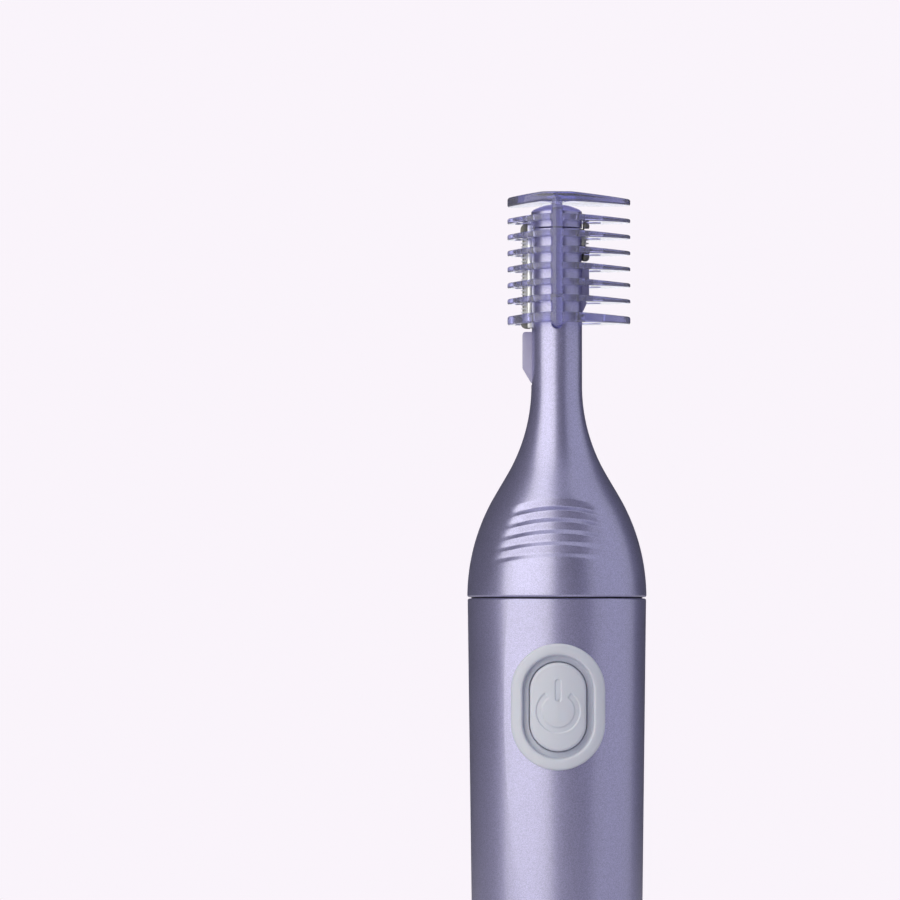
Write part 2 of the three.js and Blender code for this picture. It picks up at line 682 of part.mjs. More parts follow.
// ---- comb guard --------------------------------------------------------------------
function combOutline(inset, hole) {
  const left = COMB_LEFT + inset;
  const right = COMB_RIGHT - inset;
  const depth = COMB_HALF_DEPTH;
  const shape = new THREE.Shape();
  shape.moveTo(left + 0.5, -2.0);
  shape.quadraticCurveTo(-4.2, -depth, 0, -depth);
  shape.quadraticCurveTo(5.4, -depth, right - 0.7, -2.2);
  shape.quadraticCurveTo(right, -1.7, right, 0);
  shape.quadraticCurveTo(right, 1.7, right - 0.7, 2.2);
  shape.quadraticCurveTo(5.4, depth, 0, depth);
  shape.quadraticCurveTo(-4.2, depth, left + 0.5, 2.0);
  shape.quadraticCurveTo(left, 1.6, left, 0);
  shape.quadraticCurveTo(left, -1.6, left + 0.5, -2.0);
  if (hole) {
    const bore = BARREL_R + 0.3;
    const slot = 1.3;
    const turn = Math.asin(slot / bore);
    const path = new THREE.Path();
    path.absarc(0, 0, bore, turn, Math.PI - turn);
    path.lineTo(-6.2, slot);
    path.lineTo(-6.2, -slot);
    path.absarc(0, 0, bore, Math.PI + turn, 2 * Math.PI - turn);
    path.lineTo(6.6, -slot);
    path.lineTo(6.6, slot);
    shape.holes.push(path);
  }
  return shape;
}

function combPlate(low, high, inset, hole) {
  const settings = { depth: high - low, bevelEnabled: false, curveSegments: 6 };
  return new THREE.ExtrudeGeometry(combOutline(inset, hole), settings).translate(0, 0, low);
}

function combGuard() {
  const foot = combPlate(COMB_FOOT_Z, COMB_FOOT_Z + 1.6, 0, true);
  const fins = [];
  for (let i = 1; i <= COMB_FINS; i += 1) {
    const middle = COMB_FOOT_Z + 0.8 + i * COMB_PITCH;
    fins.push(combPlate(middle - 0.45, middle + 0.45, 0, true));
  }
  const roof = combPlate(ROOF_Z, COMB_TOP_Z, 0, false);
  const spines = [[-5.3, -3.5], [3.5, 5.3]].map((y) => box([-0.78, 0.78], y, [RAIL_Z + 0.3, ROOF_Z + 0.1]));
  return join(foot, ...fins, roof, ...spines);
}

// ---- assembly ----------------------------------------------------------------------
const trimmer = new THREE.Group();

function add(name, geometry, material) {
  const mesh = new THREE.Mesh(geometry, material);
  mesh.name = name;
  trimmer.add(mesh);
}

add('neck_housing', neckHousing(), PAINT());
add('head_end_cap', headEndCap(), PAINT());
add('body_housing', bodyHousing(), PAINT());
add('neck_seal_ring', neckSealRing(), BLACK());
add('left_guide_fin', guideFin(LEFT_FIN), PLASTIC());
add('right_guide_fin', guideFin(RIGHT_FIN), PLASTIC());
add('long_blade_holder', bladeHolder(LONG), DARK());
add('long_fixed_blade', fixedBlade(LONG), STEEL());
add('long_moving_blade', movingBlade(LONG), STEEL());
add('long_blade_spring', bladeSpring(LONG), STEEL());
add('short_blade_holder', bladeHolder(SHORT), DARK());
add('short_fixed_blade', fixedBlade(SHORT), STEEL());
add('short_moving_blade', movingBlade(SHORT), STEEL());
add('short_blade_spring', bladeSpring(SHORT), STEEL());
add('drive_rod', driveRod(), WHITE());
add('rod_guide', rodGuide(), WHITE());
add('rocker_lever', rockerLever(), WHITE());
add('rocker_pin', rockerPin(), STEEL());
add('rocker_bracket', rockerBracket(), BLACK());
add('left_bracket_screw', bracketScrew(SCREW_PLACES[0]), STEEL());
add('right_bracket_screw', bracketScrew(SCREW_PLACES[1]), STEEL());
add('eccentric_cam', eccentricCam(), WHITE());
add('motor_shaft', drum(SHAFT_R, 67.5, 88.6, 16, 0, MOTOR_Y), STEEL());
add('motor_armature', motorArmature(), finish(0xa8582c, 0.4, 0.8));
add('motor_magnet', ring(4.3, 5.3, 69, 83, 32, 0, MOTOR_Y), DARK());
add('motor_bearing', ring(SHAFT_R + FIT, 1.95, 84.9, 87.3, AROUND_SMALL, 0, MOTOR_Y), BRASS());
add('motor_can', motorCan(), STEEL());
add('motor_end_bell', motorEndBell(), WHITE());
add('left_motor_terminal', motorTerminal(-2.5), BRASS());
add('right_motor_terminal', motorTerminal(2.5), BRASS());
add('left_motor_wire', motorWire(-1), finish(0xa02020, 0.5, 0.0));
add('right_motor_wire', motorWire(1), BLACK());
add('chassis', chassis(), BLACK());
add('switch_board', switchBoard(), finish(0x1f5a34, 0.4, 0.0));
add('switch_body', switchBody(), BLACK());
add('switch_plunger', switchPlunger(), WHITE());
add('button_bezel', buttonBezel(), SOFT());
add('power_button', powerButton(), SOFT());
add('battery_sleeve', ring(SLEEVE[0], SLEEVE[1], 12.5, 60.2, 32), BLACK());
add('battery_cell', batteryCell(), finish(0x3c4a78, 0.3, 0.5));
add('positive_contact', positiveContact(), BRASS());
add('return_strip', returnStrip(), BRASS());
add('battery_cap', batteryCap(), PAINT());
add('cap_seal_ring', capSealRing(), BLACK());
add('cap_contact_plate', drum(9.2, 4.9, 5.3, 32), BRASS());
add('negative_spring', negativeSpring(), STEEL());
add('comb_guard', combGuard(), finish(0xb9b2dc, 0.15, 0.0, 0.5));

export default trimmer;
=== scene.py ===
"""A slim battery hair trimmer: finished meshes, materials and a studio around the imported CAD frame.

Outlines are worked out in millimetres and turned into metres when a mesh is made.
"""
import math

import bmesh
import bpy
import numpy as np
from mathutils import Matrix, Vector


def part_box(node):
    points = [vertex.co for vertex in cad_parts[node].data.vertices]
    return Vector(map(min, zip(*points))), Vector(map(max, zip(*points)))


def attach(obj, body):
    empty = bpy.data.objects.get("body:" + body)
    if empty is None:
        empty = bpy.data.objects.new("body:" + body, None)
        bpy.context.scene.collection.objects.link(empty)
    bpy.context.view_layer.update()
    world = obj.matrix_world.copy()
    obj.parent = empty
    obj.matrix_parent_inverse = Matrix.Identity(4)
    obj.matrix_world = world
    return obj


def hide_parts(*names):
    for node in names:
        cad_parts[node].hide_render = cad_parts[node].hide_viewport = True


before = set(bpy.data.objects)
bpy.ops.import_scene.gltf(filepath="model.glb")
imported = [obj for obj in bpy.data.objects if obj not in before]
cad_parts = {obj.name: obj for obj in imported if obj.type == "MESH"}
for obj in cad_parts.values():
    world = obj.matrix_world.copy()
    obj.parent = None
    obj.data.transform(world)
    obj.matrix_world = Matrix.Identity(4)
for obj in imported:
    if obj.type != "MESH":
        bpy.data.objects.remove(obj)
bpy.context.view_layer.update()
MM = 0.001


def box_mm(node):
    """Lowest and highest corner of a CAD node, in millimetres."""
    low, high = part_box(node)
    return low / MM, high / MM


# ---- sizes read from the frame --------------------------------------------------------
NECK_LOW, NECK_HIGH = box_mm("neck_housing")
BODY_LOW, BODY_HIGH = box_mm("body_housing")
END_HIGH = box_mm("head_end_cap")[1]
BEZEL_LOW, BEZEL_HIGH = box_mm("button_bezel")
COMB_LOW, COMB_HIGH = box_mm("comb_guard")

SEAM_Z = NECK_LOW.z
NECK_R = NECK_HIGH.x
BARREL_R = END_HIGH.x
HEAD_TOP_Z = END_HIGH.z
END_CAP_Z = NECK_HIGH.z
BODY_R = BODY_HIGH.x
BUTTON_Z = (BEZEL_LOW.z + BEZEL_HIGH.z) / 2
CAP_Z = BODY_LOW.z
RAIL_Z = COMB_LOW.z - 0.3

# ---- sizes of the finished shapes, millimetres ---------------------------------------
BODY_TAPER = 0.013
BODY_WALL = 1.4
BODY_BORE = (10.75, 22.0)          # radius and upper end of the plain bore for the battery
STUB = (10.7, 11.9)                # radii of the body's collar inside the neck
STUB_TOP = SEAM_Z + 3.4
FINE_FROM = SEAM_Z - 28            # the body's wall has finer rows above this, for the button's pocket
PARTING_EDGE = 0.22                # rounding where the cap and the body meet
SEAM_EDGE = 0.3                    # rounding where the body and the neck meet
SEAM_GAP = 0.18
BASE_FILLET = 4.0

FACET_HALF = 8.0                   # the flattened front: half width, half height and flatness
FACET_TALL = 39.0
FACET_Z = BUTTON_Z + 0.8
FACET_FLATNESS = 1.13

SHOULDER_R = 30.2
WAIST_R = 26.5
NECK_SLOPE = math.radians(30.5)
NECK_STRAIGHT = 3.6
NECK_WALL = 1.3

GRIP_CORNERS = (6.6, 8.35, 10.1, 11.85, 13.6)   # height above the seam of each groove's deep corner
GRIP_DEPTHS = (0.25, 0.31, 0.38, 0.45, 0.52)
GRIP_ARCHES = (0.0115, 0.0145, 0.0175, 0.0205, 0.0235)    # drop of the arch per square of the distance
GRIP_HALVES = (10.2, 9.6, 8.8, 7.9, 7.2)        # half length of each groove
GRIP_FADE = 3.2                    # length over which its ends die away
GRIP_PROFILE = (                   # height from the corner, share of the depth
    (-0.72, 0.0), (-0.66, 0.04), (-0.5, 0.3), (-0.15, 0.86), (-0.05, 0.97), (0.02, 1.0), (0.1, 0.95),
    (0.95, 0.04), (1.03, 0.0),
)

RAIL_TOP_WIDTH = 1.78
RAIL_WALL = 0.34
RAIL_DEPTH = 0.5
RAIL_RIB_SHARE = 0.7               # share of the depth that the rib fills
RAIL_RIB = (4.95, 0.55, 0.16)      # height above the groove's end, slope above and below
SLOT_HALF = 0.82
SLOT_DEPTH = 0.95
SLOT_EDGE = 0.08

POCKET_INSET = 0.45                # the wall behind the bezel is pushed in from here inwards
POCKET_EDGE = 0.25
POCKET_DEPTHS = (3.0, 2.5)         # of the outer skin and of the inner wall

PAD_INSET = 2.8                    # from the bezel's outline to the side of the button
PAD_ROUND = 0.42
SYMBOL_Z = BUTTON_Z - 0.6          # centre of the power symbol's ring
SYMBOL_R = 2.85
SYMBOL_HALF = 0.42                 # half width of its line
SYMBOL_OPEN = math.radians(36)
SYMBOL_DEPTH = 0.16
BAR_Z = BUTTON_Z + 2.45
BAR_HALF = 0.45
BAR_REACH = 1.2

GUARD_WIDTH = 0.95                 # width of the dark part of a blade's end guards
LONG_BLADE = {
    "side": -1, "teeth": 23, "pitch": 0.55, "gum": 0.8, "open": 0.3, "end": 1.5, "strip": True,
    "holder": "long_blade_holder", "fixed": "long_fixed_blade", "moving": "long_moving_blade",
}
SHORT_BLADE = {
    "side": 1, "teeth": 6, "pitch": 0.57, "gum": 0.7, "open": 0.75, "end": 0.95, "strip": False,
    "holder": "short_blade_holder", "fixed": "short_fixed_blade", "moving": "short_moving_blade",
}


# ---- mesh helpers --------------------------------------------------------------------
def make_object(name, points, faces, smooth_angle=40):
    mesh = bpy.data.meshes.new(name)
    mesh.from_pydata([tuple(p) for p in np.asarray(points, float) * MM], [], faces)
    mesh.update()
    obj = bpy.data.objects.new(name, mesh)
    bpy.context.scene.collection.objects.link(obj)
    tidy_normals(obj, smooth_angle)
    return obj


def tidy_normals(obj, smooth_angle):
    work = bmesh.new()
    work.from_mesh(obj.data)
    bmesh.ops.remove_doubles(work, verts=work.verts, dist=1e-8)
    bmesh.ops.recalc_face_normals(work, faces=work.faces)
    for face in work.faces:
        face.smooth = True
    limit = math.radians(smooth_angle)
    for edge in work.edges:
        if len(edge.link_faces) == 2:
            edge.smooth = edge.calc_face_angle(0.0) < limit
    work.to_mesh(obj.data)
    work.free()


def settle(obj, *modifiers):
    """Adds modifiers given as (type, settings) and applies them to the mesh."""
    for kind, settings in modifiers:
        modifier = obj.modifiers.new(kind.lower(), kind)
        for key, value in settings.items():
            setattr(modifier, key, value)
    shape = bpy.data.meshes.new_from_object(obj.evaluated_get(bpy.context.evaluated_depsgraph_get()))
    obj.modifiers.clear()
    old = obj.data
    obj.data = shape
    bpy.data.meshes.remove(old)


def loop_faces(rows, columns, close_rows):
    """Quads of a grid whose columns go round, and whose rows may too."""
    faces = []
    for row in range(rows if close_rows else rows - 1):
        below, above = row * columns, (row + 1) % rows * columns
        for column in range(columns):
            other = (column + 1) % columns
            faces.append((below + column, below + other, above + other, above + column))
    return faces


def grid_object(name, grid, close_rows=True, smooth_angle=40):
    """A closed mesh from a rows x columns x 3 array whose columns go round."""
    rows, columns = grid.shape[:2]
    points = grid.reshape(-1, 3)
    faces = loop_faces(rows, columns, close_rows)
    if not close_rows:
        faces.append(tuple(range(columns)))
        faces.append(tuple((rows - 1) * columns + i for i in range(columns)))
    return make_object(name, points, faces, smooth_angle)


def add_piece(obj, body, material, slot, *nodes):
    """Gives a finished mesh its body, its material and any CAD nodes that it stands in for."""
    obj.data.materials.clear()
    obj.data.materials.append(material)
    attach(obj, body)
    if nodes:
        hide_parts(*nodes)


def smoothstep(value):
    t = np.clip(value, 0.0, 1.0)
    return t * t * (3 - 2 * t)


def spaced(*stops):
    """Values along a line: (start, step) pairs and a last value."""
    values = []
    for (start, step), (end, _) in zip(stops, [*stops[1:-1], (stops[-1], None)]):
        count = max(1, round(abs(end - start) / step))
        values.extend(np.linspace(start, end, count, endpoint=False))
    values.append(stops[-1])
    return np.array(values)


def fillet(centre, radius, start, end, steps=5):
    """Points of an arc as (r, z), with angles in degrees."""
    turns = np.radians(np.linspace(start, end, steps))
    return [(centre[0] + radius * math.cos(t), centre[1] + radius * math.sin(t)) for t in turns]


# ---- the outer form ------------------------------------------------------------------
def body_radius(z):
    return BODY_R - BODY_TAPER * (SEAM_Z - z)


def neck_radius(height):
    shoulder_rise = SHOULDER_R * math.sin(NECK_SLOPE)
    straight_rise = NECK_STRAIGHT * math.cos(NECK_SLOPE)
    waist_rise = WAIST_R * math.sin(NECK_SLOPE)
    shoulder_end = NECK_R - SHOULDER_R * (1 - math.cos(NECK_SLOPE))
    h = np.asarray(height, float)
    convex = NECK_R - SHOULDER_R + np.sqrt(SHOULDER_R ** 2 - np.minimum(h, shoulder_rise) ** 2)
    straight = shoulder_end - (h - shoulder_rise) * math.tan(NECK_SLOPE)
    below = np.clip(shoulder_rise + straight_rise + waist_rise - h, 0, waist_rise)
    concave = BARREL_R + WAIST_R - np.sqrt(WAIST_R ** 2 - below ** 2)
    higher = np.where(h < shoulder_rise + straight_rise, straight, concave)
    return np.where(h < shoulder_rise, convex, higher)


def front_y(x, z, grow=0.0):
    """Y of the body's front surface, flattened inside a tall ellipse."""
    radius = body_radius(z) + grow
    x = np.clip(x, -radius + 1e-6, radius - 1e-6)
    reach = np.clip(1 - ((z - FACET_Z) / FACET_TALL) ** 2, 0, 1)
    half = FACET_HALF * np.sqrt(reach)
    flat = FACET_FLATNESS * radius
    inside = np.sqrt(radius ** 2 - half ** 2) - np.sqrt(flat ** 2 - half ** 2) + np.sqrt(flat ** 2 - x ** 2)
    return -np.where(np.abs(x) < half, inside, np.sqrt(radius ** 2 - x ** 2))


def crowded_turns(count, places, strength, width):
    """Angles round the axis, closer together near the given places (degrees)."""
    fine = np.linspace(0, 2 * math.pi, 7200, endpoint=False)
    density = np.ones_like(fine)
    for place in places:
        away = np.angle(np.exp(1j * (fine - math.radians(place))))
        density += strength * np.exp(-(away / math.radians(width)) ** 2)
    total = np.concatenate([[0], np.cumsum(density)])
    wanted = np.linspace(0, total[-1], count, endpoint=False)
    return np.interp(wanted, total, np.append(fine, 2 * math.pi))


def revolve(rows, turns):
    """A rows x columns x 3 array from (r, z) rows."""
    r = np.array([row[0] for row in rows])[:, None]
    z = np.array([row[1] for row in rows])[:, None] + 0 * turns[None, :]
    return np.stack([r * np.cos(turns), r * np.sin(turns), z], axis=-1)


def pull_in(grid, depth):
    """Moves points towards the axis by a depth for each."""
    own = np.hypot(grid[..., 0], grid[..., 1])
    keep = 1 - depth / np.maximum(own, 1e-6)
    grid[..., 0] *= keep
    grid[..., 1] *= keep


def grip_depth(x, y, height):
    """Five arched grooves, each with a sloping wall below its corner and a leaning land above it."""
    ups, depths = zip(*GRIP_PROFILE)
    depth = np.zeros_like(x)
    for corner, deepest, arch, half in zip(GRIP_CORNERS, GRIP_DEPTHS, GRIP_ARCHES, GRIP_HALVES):
        up = height + arch * x ** 2 - corner
        fade = 1 - smoothstep((np.abs(x) - half + GRIP_FADE) / GRIP_FADE)
        depth = np.maximum(depth, deepest * fade * np.interp(up, ups, depths, 0.0, 0.0))
    return depth * (y < 0)


def rail_depth(x, z):
    """The groove that guides the comb: sloping walls, a flat floor and a small cross rib."""
    half = RAIL_TOP_WIDTH / 2
    end = RAIL_Z + half
    away = np.where(z >= end, np.abs(x), np.hypot(x, z - end))
    floor = smoothstep((half - away) / RAIL_WALL)
    rib_at, above, below = RAIL_RIB
    up = z - RAIL_Z - rib_at
    rib = 1 - np.clip(np.where(up > 0, up / above, -up / below), 0, 1)
    sag = BARREL_R - np.sqrt(BARREL_R ** 2 - np.clip(x, -half, half) ** 2)
    return (RAIL_DEPTH - sag) * floor * (1 - RAIL_RIB_SHARE * rib)


def slot_depth(y, z, low):
    """The slot that a blade stands in, above a low end."""
    across = smoothstep((SLOT_HALF - np.abs(y)) / SLOT_EDGE + 0.5)
    along = smoothstep((z - low) / SLOT_EDGE + 0.5)
    return SLOT_DEPTH * (across * along)


# ---- shells --------------------------------------------------------------------------
BARREL_TURNS = crowded_turns(336, (0, 90, 180, 270), 2.2, 17)
BODY_TURNS = crowded_turns(336, (270 - 36, 270 + 36), 4.0, 7)


def neck_shell():
    """The bottle-shaped neck and barrel, with the grip grooves, the comb's rails and the blades' slots."""
    heights = spaced((0.35, 0.5), (3.6, 0.075), (14.9, 0.7), (32.0, 0.4), (39.9, 0.09), (41.6, 0.2),
                     (44.6, 0.07), (46.2, 0.45), END_CAP_Z - SEAM_Z - 0.14)
    outer = fillet((NECK_R - 0.3, SEAM_Z + 0.3), 0.3, -90, -12, 5)
    outer += [(float(neck_radius(h)), SEAM_Z + h) for h in heights]
    outer += fillet((BARREL_R - 0.1, END_CAP_Z - 0.1), 0.1, 20, 90, 3)
    bore = BARREL_R - 1.08
    inner = [(bore, END_CAP_Z)]
    for h in np.linspace(32, 0, 12):
        inner.append((max(float(neck_radius(h)) - NECK_WALL, bore), SEAM_Z + h))
    grid = revolve(outer + inner, BARREL_TURNS)
    skin = grid[:len(outer)]
    x, y, z = skin[..., 0], skin[..., 1], skin[..., 2]
    depth = grip_depth(x, y, z - SEAM_Z) + np.where(z > SEAM_Z + 30, rail_depth(x, z), 0)
    left_low = box_mm("left_guide_fin")[0].z - 0.12
    right_low = box_mm("right_guide_fin")[0].z - 0.12
    depth += np.where(z > SEAM_Z + 25, slot_depth(y, z, np.where(x < 0, left_low, right_low)), 0)
    pull_in(skin, depth)
    return grid_object("neck_shell", grid, smooth_angle=50)


def end_cap_shell():
    """The closed end of the barrel: a small rounded edge and a low dome."""
    low = END_CAP_Z + 0.12
    side_top = HEAD_TOP_Z - 1.3
    outer = [(0.6, low), (BARREL_R - 0.5, low)] + fillet((BARREL_R - 0.1, low + 0.1), 0.1, -90, 0, 4)
    outer += [(BARREL_R, z) for z in np.linspace(low + 0.3, side_top - 0.1, 8)]
    outer += fillet((BARREL_R - 0.4, side_top), 0.4, 0, 58, 7)
    for share in np.linspace(0.93, 0.03, 16):
        rise = (HEAD_TOP_Z - side_top - 0.34) * (1 - share ** 2.1)
        outer.append(((BARREL_R - 0.1) * share, side_top + 0.34 + rise))
    grid = revolve(outer, BARREL_TURNS)
    x, z = grid[..., 0], grid[..., 2]
    own = np.hypot(x, grid[..., 1])
    pull_in(grid, np.where(own > BARREL_R - 0.45, rail_depth(x, z), 0))
    return grid_object("end_cap_shell", grid, close_rows=False)


def press_pocket(rows, depth):
    """Moves the part of the wall that lies behind the bezel inwards."""
    x, y, z = rows[..., 0], rows[..., 1], rows[..., 2]
    y += smoothstep((oval_distance(x, z) - POCKET_INSET) / POCKET_EDGE) * (y < 0) * depth


def body_shell():
    """The body: a slightly tapered tube with a flattened front and a collar that enters the neck."""
    levels = spaced((CAP_Z + 0.35, 1.2), (FINE_FROM, 0.3), SEAM_Z - 0.5)
    outer = fillet((body_radius(CAP_Z) - PARTING_EDGE, CAP_Z + PARTING_EDGE), PARTING_EDGE, -90, -10, 4)
    outer += [(body_radius(z), z) for z in levels]
    outer += fillet((BODY_R - SEAM_EDGE, SEAM_Z - SEAM_GAP - SEAM_EDGE), SEAM_EDGE, 8, 90, 5)
    stub_in, stub_out = STUB
    bore, bore_top = BODY_BORE
    stub = [(stub_out, SEAM_Z - SEAM_GAP), (stub_out, STUB_TOP), (stub_in, STUB_TOP), (stub_in, SEAM_Z - 4)]
    wall_levels = spaced((SEAM_Z - 5, 0.35), (FINE_FROM, 8.0), bore_top + 2)
    inner = [(body_radius(z) - BODY_WALL, z) for z in wall_levels]
    inner += [(bore, bore_top), (bore, CAP_Z)]
    grid = revolve(outer + stub + inner, BODY_TURNS)
    skin = grid[:len(outer)]
    x, y, z = skin[..., 0], skin[..., 1], skin[..., 2]
    radius = np.hypot(x, y)
    flat = front_y(x, z, radius - body_radius(z))
    y[:] = np.where(y < 0, flat, y)
    press_pocket(skin, POCKET_DEPTHS[0])
    press_pocket(grid[len(outer) + len(stub):], POCKET_DEPTHS[1])
    return grid_object("body_shell", grid, smooth_angle=35)


def seam_shadow_ring():
    """A thin black ring set into the seam between the body and the neck: painted shadow that makes the gap
    read as a dark line.
    """
    near, far = STUB[1] + 0.05, 12.9
    low, high = SEAM_Z - 0.16, SEAM_Z - 0.02
    section = [(near, low), (far, low), (far, high), (near, high)]
    return grid_object("seam_shadow_ring", revolve(section, BODY_TURNS))


def cap_shell():
    """The battery cap: a flat base with a large rounding and a collar that enters the body."""
    edge = body_radius(BASE_FILLET)
    top = CAP_Z - 0.24
    outer = [(0.8, 0.0), (edge - BASE_FILLET - 0.6, 0.0)]
    outer += fillet((edge - BASE_FILLET, BASE_FILLET), BASE_FILLET, -88, 0, 14)
    outer += [(body_radius(z), z) for z in np.linspace(5, top - 0.3, 10)]
    outer += fillet((body_radius(top) - PARTING_EDGE, top - PARTING_EDGE), PARTING_EDGE, 10, 90, 4)
    inner = [(10.5, top), (10.5, top + 6), (9.4, top + 6), (9.4, 4.6), (0.8, 4.6)]
    return grid_object("cap_shell", revolve(outer + inner, BODY_TURNS), close_rows=False, smooth_angle=35)


# ---- button --------------------------------------------------------------------------
BEZEL_HALF = (BEZEL_HIGH.x - BEZEL_LOW.x) / 2
BEZEL_STRAIGHT = (BEZEL_HIGH.z - BEZEL_LOW.z) / 2 - BEZEL_HALF
OVAL_ARC = 5.0                     # radius at which points along an oval are evenly spaced


def oval_distance(x, z):
    """How far inside the bezel's outline a point is, in the front view."""
    over = np.maximum(np.abs(z - BUTTON_Z) - BEZEL_STRAIGHT, 0)
    return BEZEL_HALF - np.hypot(x, over)


def oval_station(count):
    """Directions and centres along an upright oval, so that an outline is centre + radius * direction."""
    arc = math.pi * OVAL_ARC
    line = 2 * BEZEL_STRAIGHT
    total = 2 * (arc + line)
    centres, directions = [], []
    for distance in np.linspace(0, total, count, endpoint=False):
        half, side = (distance, 1) if distance < total / 2 else (distance - total / 2, -1)
        if half < arc:
            turn = math.pi * half / arc
            centres.append((0, side * BEZEL_STRAIGHT))
            directions.append((side * math.cos(turn), side * math.sin(turn)))
        else:
            centres.append((0, side * (BEZEL_STRAIGHT - (half - arc))))
            directions.append((-side, 0))
    return np.array(centres), np.array(directions)


def oval_ring(profile, count=220):
    """A grid from (inset, height) pairs, laid on the body's front surface."""
    centres, directions = oval_station(count)
    rows = []
    for inset, height in profile:
        flat = centres + directions * (BEZEL_HALF - inset)
        x = flat[:, 0]
        z = flat[:, 1] + BUTTON_Z
        rows.append(np.stack([x, front_y(x, z) - height, z], axis=-1))
    return np.array(rows)


def bezel_ring():
    """The oval rim, in distances inwards from its outline and heights above the body."""
    crest = [(0.4, -2.9), (0.4, 0.02), (0.02, 0.02), (0.0, 0.08), (0.05, 0.2), (0.18, 0.29), (0.4, 0.33),
             (0.9, 0.34), (1.36, 0.31), (1.58, 0.22), (1.7, 0.05), (1.75, -0.2), (1.78, -0.9)]
    moat = [(1.84, -0.98), (1.98, -1.08), (2.4, -1.1), (2.62, -1.13), (2.71, -1.25), (2.72, -2.45),
            (3.5, -2.5), (3.5, -2.9)]
    return grid_object("bezel_ring", oval_ring(crest + moat), smooth_angle=60)


def power_symbol(x, z):
    """1 on the power symbol, 0 off it, with soft edges."""
    up = z - SYMBOL_Z
    radius = np.hypot(x, up)
    angle = np.abs(np.arctan2(x, up))
    soft = 0.2
    ring = smoothstep((SYMBOL_HALF - np.abs(radius - SYMBOL_R)) / soft + 0.5)
    ring = ring * smoothstep((angle - SYMBOL_OPEN) * radius / soft + 0.5)
    bar_z = np.maximum(np.abs(z - BAR_Z) - BAR_REACH, 0)
    bar = smoothstep((BAR_HALF - np.hypot(x, bar_z)) / soft + 0.5)
    return np.maximum(ring, bar)


def button_pad():
    """The button: a rounded edge, then a faintly domed top with the power symbol sunk into it."""
    around_it = 300
    edge = [(0, -1.2), (0, -0.5), (0.02, -0.3), (0.09, -0.13), (0.22, -0.02), (PAD_ROUND, 0.04)]
    rows = oval_ring([(PAD_INSET + inwards, height) for inwards, height in edge], around_it)
    centres, directions = oval_station(around_it)
    start = BEZEL_HALF - PAD_INSET - PAD_ROUND
    top = []
    for share in np.linspace(0, 1, 60)[1:-1]:
        flat = directions * start * (1 - share) + centres * (1 - 0.35 * share)
        x, z = flat[:, 0], flat[:, 1] + BUTTON_Z
        height = 0.04 + 0.08 * share - SYMBOL_DEPTH * power_symbol(x, z)
        top.append(np.stack([x, front_y(x, z) - height, z], axis=-1))
    grid = np.concatenate([rows, np.array(top)])
    return grid_object("button_pad", grid, close_rows=False, smooth_angle=60)


# ---- blades and fins -----------------------------------------------------------------
TOOTH_HALVES = (0.29, 0.17, 0.07)  # half widths at the gum, below the tip and at the tip, in pitches
TOOTH_TIP = 0.1
# depth at which the dark backing plate starts: painted shadow in the gaps between the teeth
SHADOW_BACKING_Y = 0.42
# thin dark bar beside the steel strip: painted shadow of the step at the strip's edge
SHADOW_LINE_Y = (-0.66, -0.5)
STRIP_Y = (-0.76, -0.6)


def slab(name, outline, low, high, bevel, segments):
    """A flat outline of (x, z) points given a thickness along Y, with rounded edges."""
    count = len(outline)
    points = [(x, low, z) for x, z in outline] + [(x, high, z) for x, z in outline]
    faces = [tuple(range(count)), tuple(range(count, 2 * count))]
    faces += [(i, (i + 1) % count, count + (i + 1) % count, count + i) for i in range(count)]
    obj = make_object(name, points, faces, 30)
    settle(obj, ("BEVEL", {"width": bevel * MM, "segments": segments, "limit_method": "ANGLE",
                           "angle_limit": math.radians(28), "use_clamp_overlap": True}))
    tidy_normals(obj, 40)
    return obj


def mirrored(side, outline):
    return [(side * x, z) for x, z in outline]


def joined(name, parts):
    """One object from several, which are used up."""
    first = parts[0]
    work = bmesh.new()
    for part in parts:
        work.from_mesh(part.data)
    work.to_mesh(first.data)
    work.free()
    for part in parts[1:]:
        bpy.data.objects.remove(part)
    first.name = name
    first.data.name = name
    return first


def fin_piece(name, node):
    """A guide fin that carries on a blade's line down the neck, with a sloping foot."""
    low, high = box_mm(node)
    side = -1 if low.x < 0 else 1
    outer = max(abs(low.x), abs(high.x))
    inner = min(abs(low.x), abs(high.x))
    slope = 2.25
    corner = 0.45
    outline = [(inner, low.z), (BARREL_R, low.z), (outer, low.z + slope)]
    outline += fillet((outer - corner, high.z - corner), corner, 0, 90, 6)
    outline.append((inner, high.z))
    return slab(name, mirrored(side, outline), low.y, high.y, 0.14, 3)


